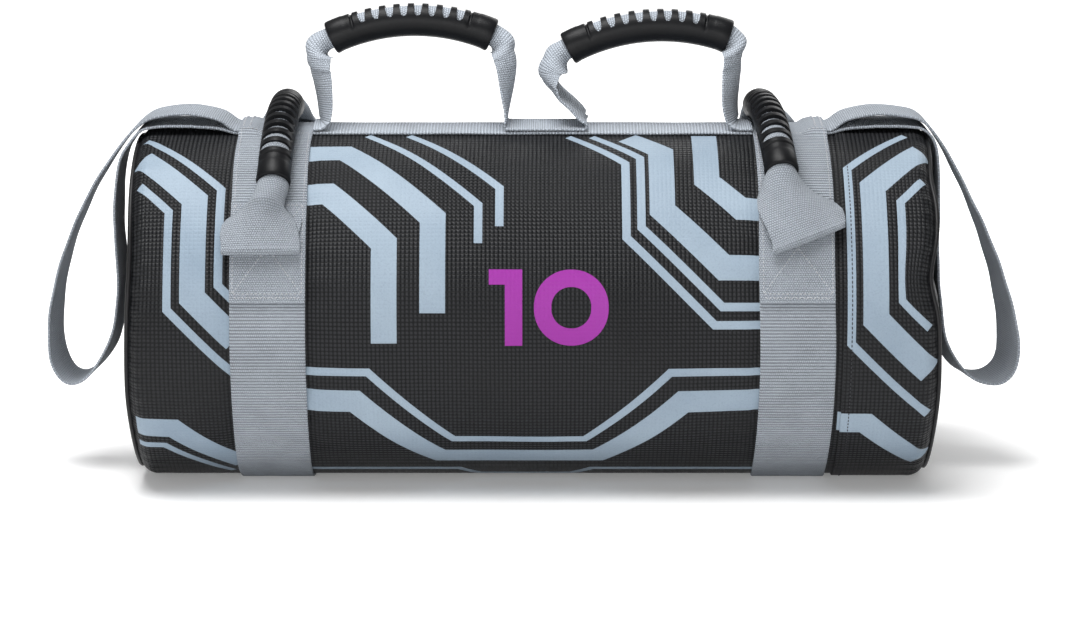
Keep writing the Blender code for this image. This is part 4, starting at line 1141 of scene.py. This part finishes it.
def band_frame(x, middle, yaw):
    """Centre and directions of the arc of a grip over a band, turned by yaw about its middle."""
    back = np.array((0, math.cos(middle), math.sin(middle)))
    up = np.array((0, -math.sin(middle), math.cos(middle)))
    left = np.array((-1, 0, 0))
    along = back * math.cos(yaw) + left * math.sin(yaw)
    return np.array((x, 0, AXIS_HEIGHT)), along, left * math.cos(yaw) - back * math.sin(yaw), up


# Each upright handle: where it stands, how its grip lies, how its two legs bow out, how deep each
# folded leg is (share of its height, metres), its creases (share of its height, slope, depth), and
# how far its rear edge is turned outwards (share of its height, radians).
TOP_HANDLES = {
    "left": (
        -1, LEFT_SPREAD, LEFT_TO_BAND, 0.0577, -0.0017, math.radians(1),
        ((0, 0), (0.24, 0.03), (0.47, 0.085), (0.67, 0.150), (0.87, 0.155)),
        ((0, 0), (0.23, 0.05), (0.47, 0.10), (0.71, 0.13), (0.88, 0.10)),
        (
            ((0, 0.0034), (0.22, 0.0064), (0.5, 0.0108), (0.75, 0.0146), (1, 0.0155)),
            ((0.70, 0.18, 0.0016),),
            ((0, 0.14), (1, 0.14)),
        ),
        (
            ((0, 0.0007), (0.10, 0.0011), (0.28, 0.0044), (0.5, 0.0085), (0.75, 0.0140), (1, 0.0155)),
            ((0.84, -0.30, 0.0012),),
            ((0, 0), (1, 0)),
        ),
    ),
    "right": (
        1, RIGHT_SPREAD, RIGHT_TO_BAND, 0.0536, -0.0085, math.radians(4.3),
        ((0, 0), (0.24, -0.01), (0.47, 0.02), (0.69, 0.06), (0.86, 0.07)),
        ((0, 0), (0.06, 0), (0.27, 0.12), (0.53, 0.30), (0.76, 0.33), (0.90, 0.22)),
        (
            (
                (0, 0.0008), (0.2, 0.0010), (0.36, 0.0014), (0.48, 0.0044), (0.58, 0.0105),
                (0.70, 0.0145), (1, 0.0155),
            ),
            ((0.66, 0.35, 0.0016),),
            ((0, -0.03), (0.14, -0.09), (0.36, -0.09), (0.56, 0)),
        ),
        (
            ((0, 0.0045), (0.25, 0.0070), (0.42, 0.0082), (0.6, 0.0094), (0.9, 0.0100), (1, 0.0125)),
            ((0.80, 0.30, 0.0010),),
            ((0, 0.14), (1, 0.14)),
        ),
    ),
}
# A foot's bend along the strip, and how high its first knot stands
FOOT_BEND = FOOT_LIFT = 0.0030


def leg_knots(foot, end, shares, outside):
    """Knots from a foot on the strip to the grip's end, bowed out from the straight line."""
    chord = end - foot
    side = np.array((chord[2], 0, -chord[0])) * outside
    return [foot + chord * along + side * out for along, out in shares] + [end]


def make_top_handle(side):
    """One upright handle: its grip, and its webbing from sewn end to sewn end."""
    sign, spread, to_band, rise, shift, tilt, *shares, low_leg, high_leg = TOP_HANDLES[side]
    outer_x = sign * (BAND_EDGE - to_band)
    inner_x = outer_x - sign * (GRIP_CHORD + spread)
    level = AXIS_HEIGHT + SECOND_MIDDLE
    frame_of = top_frame((outer_x + inner_x) / 2 + shift, AXIS_HEIGHT + SECOND_OUTER + rise, tilt)
    body = f"top_handle_{side}"
    make_grip(f"upright_grip_{side}", frame_of, body, f"top_grip_{side}")
    origin, along, _, up = frame_of
    turns = np.linspace(-GRIP_HALF_ANGLE, GRIP_HALF_ANGLE, 15)
    arc = [
        origin + (GRIP_BEND + lifted_core(t * GRIP_BEND)) * (along * math.sin(t) + up * math.cos(t))
        for t in turns
    ]
    low_x, high_x = min(outer_x, inner_x), max(outer_x, inner_x)
    rising, falling = shares if sign < 0 else shares[::-1]
    up_leg = leg_knots(np.array((low_x, 0, level)), arc[0], rising, -1)
    down_leg = leg_knots(np.array((high_x, 0, level)), arc[-1], falling, 1)
    sewn_out, sewn_in = sign * (BAND_EDGE - SEAT_GAP), CENTRE_SEAM
    start, stop = (sewn_out, sewn_in) if sign < 0 else (sewn_in, sewn_out)

    def sewn(edge, foot_x, way):
        """Knots from the webbing's sewn edge along the strip to the bend at its foot."""
        flat = foot_x - edge
        bend = FOOT_BEND * way
        return [
            np.array((edge, 0, level)), np.array((edge + 0.5 * (flat - bend), 0, level)),
            np.array((foot_x - bend, 0, level)), np.array((foot_x - 0.3 * bend, 0, level + 0.0008)),
        ]

    for leg in (up_leg, down_leg):
        leg[0] = leg[0] + (0, 0, FOOT_LIFT)
    knots = sewn(start, low_x, 1) + up_leg[:-1] + arc + down_leg[-2::-1] + sewn(stop, high_x, -1)[::-1]
    path = smooth_path(knots, 400)
    height = path[:, 2] - level
    at_low_side = path[:, 0] < origin[0]
    grip_end = np.where(at_low_side, arc[0][2], arc[-1][2])
    from_centre = path - origin
    reach, lean = np.linalg.norm(from_centre, axis=1), np.arctan2(from_centre @ along, from_centre @ up)
    in_grip = (np.abs(lean) < GRIP_HALF_ANGLE) & (np.abs(reach - GRIP_BEND) < 0.004)
    share = np.where(in_grip, 1, np.clip(height / (grip_end - level), 0, 1))

    def by_leg(table):
        """The low leg's or the high leg's table, at each point's share of the height."""
        return np.where(at_low_side, *(np.interp(share, *zip(*leg[table])) for leg in (low_leg, high_leg)))

    opened = roll_for_depth(by_leg(0))
    closed = ease((share - 0.80) / 0.20)
    roll = np.maximum(opened + (FULL_ROLL - opened) * closed, LEAST_ROLL)
    draped = ease(height / 0.004)
    roll = WEB_WIDTH / BAND_OUTER * (1 - draped) + roll * draped
    spin = SEAM_TURN * closed * np.where(at_low_side, 1, -1) + by_leg(2) * (1 - closed) * draped
    across = np.tile((0, 1, 0), (len(path), 1)).astype(float)
    out = left_of(path)

    def creases(a, run):
        """Soft folds on the legs, and creases below which the webbing is drawn in and comes back."""
        loose = ease(height / 0.012) * (1 - ease((share - 0.90) / 0.08))
        folds = 0.0005 * waves(a * 2.2, run, 31 if sign < 0 else 37, 6, 0.08, 0.035)
        for leg, here in ((low_leg, at_low_side), (high_leg, ~at_low_side)):
            for place, slope, dent in leg[1]:
                under = (place + slope * a / WEB_WIDTH - share[:, None]) / 0.11
                drawn = ease(under / 0.22) * np.exp(-np.maximum(under, 0))
                folds = folds - here[:, None] * dent * drawn
        return loose[:, None] * folds

    piece = carried(
        f"upright_webbing_{side}", path, across, out, WEB_WIDTH, roll, SPIRAL * closed,
        draped, creases, STRAP_WEB, spin=spin, rest=SECOND_INNER,
    )
    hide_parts(f"top_strap_{side}", f"outer_tab_{side}", *(["centre_tab"] if sign < 0 else []))
    HINGE_HEIGHT + 0.006
    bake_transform(piece)


SOFT_FOLD = 0.0034
# How high the front webbing bows off its straight run, and how much slimmer than its bore it is
FRONT_LIFT, CORE_SLACK = 0.0012, 0.0006
# How high the rolled webbing stands in the front slots, where, and over what spread
FRONT_CORE_LIFT, FRONT_CORE_AT, FRONT_CORE_SPREAD = 0.0016, 0.0280, 0.0090
# Share of the way from the grip to the webbing's end, and share of the full flare there
FRONT_FLARES = {
    "left": ((0, 0.2, 0.34, 0.42, 0.50, 0.60, 0.78, 1), (0.12, 0.14, 0.24, 0.56, 0.80, 0.91, 0.98, 1)),
    "right": ((0, 0.14, 0.3, 0.46, 0.62, 0.76, 1), (0.10, 0.34, 0.64, 0.86, 0.95, 0.99, 1)),
}
REAR_FLARE = ((0, 0.1, 0.25, 0.45, 0.7, 0.88, 1), (0, 0.05, 0.3, 0.66, 0.95, 0.98, 0.96))
# Each band handle: how far its grip stands inboard, how far its fold stands outboard, the fold's
# tilt, the grip's yaw, how far the grip has slid to the front, and the fold down, and how far the
# strap's open part bulges outboard.
BAND_HANDLES = {
    "left": (-1, 0.0046, 0.0040, math.radians(-1), math.radians(-1.5), 0.0030, 0.0014, 0.0046),
    "right": (1, 0.0140, 0.0072, math.radians(22), math.radians(4.6), -0.0058, -0.0075, 0),
}


def girth_path(x, angle, radius):
    """Points above the girth, not settled, with the directions across the webbing and away."""
    out = np.stack([0 * angle, -np.sin(angle), np.cos(angle)], -1)
    centre = np.stack([x + 0 * angle, 0 * angle, AXIS_HEIGHT + 0 * angle], -1) + out * radius[:, None]
    return centre, out


def across_web(angle, turn):
    """The directions across webbing that runs down the girth, turned by so much in its plane."""
    down = np.stack([0 * angle, -np.cos(angle), -np.sin(angle)], -1)
    turn = np.broadcast_to(turn, angle.shape)[:, None]
    return np.array((1, 0, 0)) * np.cos(turn) - down * np.sin(turn)


def make_band_handle(side):
    """One handle over a band: its grip, and its webbing in front of the grip and behind it."""
    sign, inboard, outboard, tilt, yaw, slid, lower, bulge = BAND_HANDLES[side]
    tilt *= sign
    band_x, grip_x, fold_x = sign * BAND_X, sign * (BAND_X - inboard), sign * (BAND_X + outboard)
    body = f"band_handle_{side}"
    low_angle = GRIP_LOW_ANGLE + slid / GRIP_BEND
    middle_angle = low_angle - GRIP_HALF_ANGLE
    frame_of = band_frame(grip_x, middle_angle, yaw)
    make_grip(f"band_grip_fine_{side}", frame_of, body, f"band_grip_{side}")
    high_angle = low_angle - 2 * GRIP_HALF_ANGLE
    fold_outer = THIRD_MIDDLE + 2 * SOFT_FOLD
    fold_at = FOLD_ANGLE + (lower - SOFT_FOLD + FOLD_RADIUS) / THIRD_MIDDLE
    for part, low, end, end_x, lean, flares, least_roll in (
        ("front", low_angle, fold_at, fold_x, tilt, FRONT_FLARES[side], 0.35),
        ("rear", high_angle, REAR_TAIL_ANGLE, band_x, 0, REAR_FLARE, 0.42),
    ):
        inner = np.linspace(middle_angle, low, 24, endpoint=False)
        share = np.linspace(0, 1, 60)
        angle = np.concatenate([inner, low + (end - low) * share])
        share = np.concatenate([np.zeros(24), share])
        if part == "front":
            radius = GRIP_BEND + (fold_outer - GRIP_BEND) * ease(share)
            radius = radius + FRONT_LIFT * np.sin(math.pi * share) ** 2
        else:
            radius = GRIP_BEND + (THIRD_MIDDLE - GRIP_BEND) * ease(share)
            radius = radius + REAR_LIFT * np.sin(math.pi * share) ** 2
        in_grip = (angle - middle_angle) * GRIP_BEND
        leaning = np.clip(in_grip, -GRIP_LENGTH / 2, GRIP_LENGTH / 2) * math.tan(yaw)
        x = grip_x + leaning + (end_x - grip_x - leaning) * ease(share)
        if part == "front":
            x = x + sign * bulge * np.sin(math.pi * share) ** 2
            radius = radius + FRONT_CORE_LIFT * bump(in_grip, FRONT_CORE_AT, FRONT_CORE_SPREAD)
        centre, out = girth_path(x, angle, radius)
        flare = np.interp(share, *flares)
        half = CORE_HALF - CORE_SLACK + (FLARE_HALF_WIDTH - CORE_HALF + CORE_SLACK) * flare
        width = WEB_WIDTH + (2 * FLARE_HALF_WIDTH - WEB_WIDTH) * flare
        roll = np.maximum(roll_for(half, width), least_roll)
        across = across_web(angle, lean * ease(share))
        folded = ease((roll - 4) / 3)
        loose = np.sin(math.pi * share)

        def creases(a, run, loose=loose, seed=41 if part == "front" else 43):
            """Soft folds on the open part of the strap."""
            return loose[:, None] * 0.0006 * waves(a * 2.5, run, seed + sign, 6, 0.06, 0.025)

        piece = carried(
            f"band_webbing_{part}_{side}", centre, across, out, width, roll, SPIRAL * folded,
            1 - ease(flare), creases, FLAP_WEB_PAINTED_SHADE, rest=SECOND_OUTER,
        )
        if part == "front":
            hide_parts(f"band_strap_{side}")
        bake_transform(piece)

    tail = np.linspace(PATCH_ANGLE + 2.6 * TAIL_MARGIN, fold_at, 18, endpoint=False)
    lean = np.linspace(0, math.pi, 21)
    fold_middle = THIRD_MIDDLE + SOFT_FOLD
    angle = np.concatenate([tail, fold_at + SOFT_FOLD * np.sin(lean) / fold_middle])
    radius = np.concatenate([np.full(18, THIRD_MIDDLE), fold_middle - SOFT_FOLD * np.cos(lean)])
    bend = np.concatenate([np.zeros(18), lean])[:, None]
    settle = ease((angle - tail[0]) / (fold_at - tail[0]))
    centre, flat_out = girth_path(band_x + (fold_x - band_x) * settle, angle, radius)
    across = across_web(angle, tilt)
    along = np.cross(flat_out, across)
    out = flat_out * np.cos(bend) + along * np.sin(bend)
    roll = np.interp(bend[:, 0], (0, math.pi), (LEAST_ROLL, -0.35))
    roll = np.where(np.abs(roll) < 0.02, 0.02, roll)
    width = 2 * FLARE_HALF_WIDTH - 0.0070 * (1 - ease(bend[:, 0]))
    name = f"front_end_{side}"
    piece = carried(name, centre, across, out, width, roll, 0, 0, still, FLAP_WEB_PAINTED_SHADE, rest=SECOND_OUTER)
    bag_piece(piece, "webbing", f"front_fold_{side}")


# Loops at the ends: share along the bag's top before the turn (negative) or out past it, and share
# of the arch above the hinge (positive) or of the drop below it.
LOOPS = {
    "left": (-1, math.radians(4), (
        (-0.84, 0.45), (-0.56, 0.80), (-0.30, 0.66), (-0.09, 0.020), (0.14, -0.078), (0.43, -0.22),
        (0.64, -0.36), (0.83, -0.52), (0.95, -0.68), (0.985, -0.81), (0.96, -0.91), (0.86, -0.98),
        (0.72, -1), (0.56, -0.97), (0.38, -0.89), (0.27, -0.79), (0.225, -0.68), (0.22, -0.55),
        (0.24, -0.42), (0.230, -0.293), (0.195, -0.190), (0.145, -0.126), (0.075, -0.087),
        (0.009, -0.057), (-0.054, -0.034), (-0.127, -0.023), (-0.30, -0.016), (-0.56, -0.016),
        (-0.84, -0.016),
    )),
    "right": (1, math.radians(10), (
        (-0.84, 0.45), (-0.56, 0.80), (-0.28, 0.64), (-0.07, 0.020), (0.145, -0.092), (0.35, -0.22),
        (0.58, -0.38), (0.80, -0.58), (0.93, -0.75), (0.965, -0.88), (0.91, -0.96), (0.75, -1),
        (0.52, -0.99), (0.35, -0.94), (0.22, -0.85), (0.165, -0.74), (0.13, -0.60),
        (0.105, -0.45), (0.10, -0.293), (0.09, -0.188), (0.077, -0.124), (0.052, -0.085),
        (0.011, -0.055), (-0.054, -0.032), (-0.127, -0.021), (-0.30, -0.016), (-0.56, -0.016),
        (-0.84, -0.016),
    )),
}


def make_end_loop(side):
    """A loop of webbing from its sewn end, out over the bag's corner, round and back."""
    sign, twist, shares = LOOPS[side]
    turn_x = BAND_X + LOOP_TURN
    top_run = turn_x - LOOP_HINGE_X
    sewn = LOOP_HINGE_X - LOOP_TUCK
    lower = AXIS_HEIGHT + BAND_MIDDLE
    upper = lower + WEB_THICK + SEAT_GAP / 2
    knots = [(sewn, 0, upper), ((sewn + LOOP_HINGE_X) / 2, 0, upper), (LOOP_HINGE_X, 0, upper + 0.0002)]
    for along, up in shares:
        x = turn_x + along * (LOOP_REACH if along > 0 else top_run)
        knots.append((x, 0, LOOP_HINGE_HEIGHT + up * (LOOP_ARCH if up > 0 else LOOP_DROP)))
    knots += [(LOOP_HINGE_X, 0, lower + 0.0002), ((sewn + LOOP_HINGE_X) / 2, 0, lower), (sewn, 0, lower)]
    path = smooth_path(knots, 260)
    normal = left_of(path)
    outward = np.clip((path[:, 0] - LOOP_HINGE_X) / LOOP_DRAPE_RUN, 0, 1)
    hang = np.clip((LOOP_HINGE_HEIGHT - path[:, 2]) / LOOP_DROP, 0, 1)
    turn = twist * ease(hang) * ease((path[:, 0] - turn_x - 0.12 * LOOP_REACH) / 0.016)
    across = np.stack([-np.sin(turn), np.cos(turn), 0 * turn], -1)
    out = normal - across * np.sum(normal * across, 1)[:, None]
    out = out / np.linalg.norm(out, axis=1)[:, None]
    roll = WEB_WIDTH / BAND_OUTER * (1 - outward) * np.where(out[:, 2] > 0, 1, -1)
    roll = np.where(np.abs(roll) < 0.01, 0.01, roll)
    for vectors in (path, across, out):
        vectors[:, 0] *= sign

    def creases(a, run):
        """A little unevenness where the loop hangs free."""
        return ease(hang * 3)[:, None] * 0.0004 * waves(a * 2, run, 51 + sign, 5, 0.09, 0.03)

    piece = carried(f"end_loop_webbing_{side}", path, across, out, WEB_WIDTH, roll, 0, 0, creases, LOOP_WEB_PAINTED_SHADE)
    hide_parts(f"end_loop_{side}", f"loop_tail_{side}")
    hinge = sign * LOOP_HINGE_X
    hinge - sign * 0.001
    hinge + sign * 0.010
    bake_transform(piece)


make_camera()
make_studio()
make_skin()
make_filling()
make_bands()
make_stitching()
for make in (make_top_handle, make_band_handle, make_end_loop):
    make("left")
    make("right")
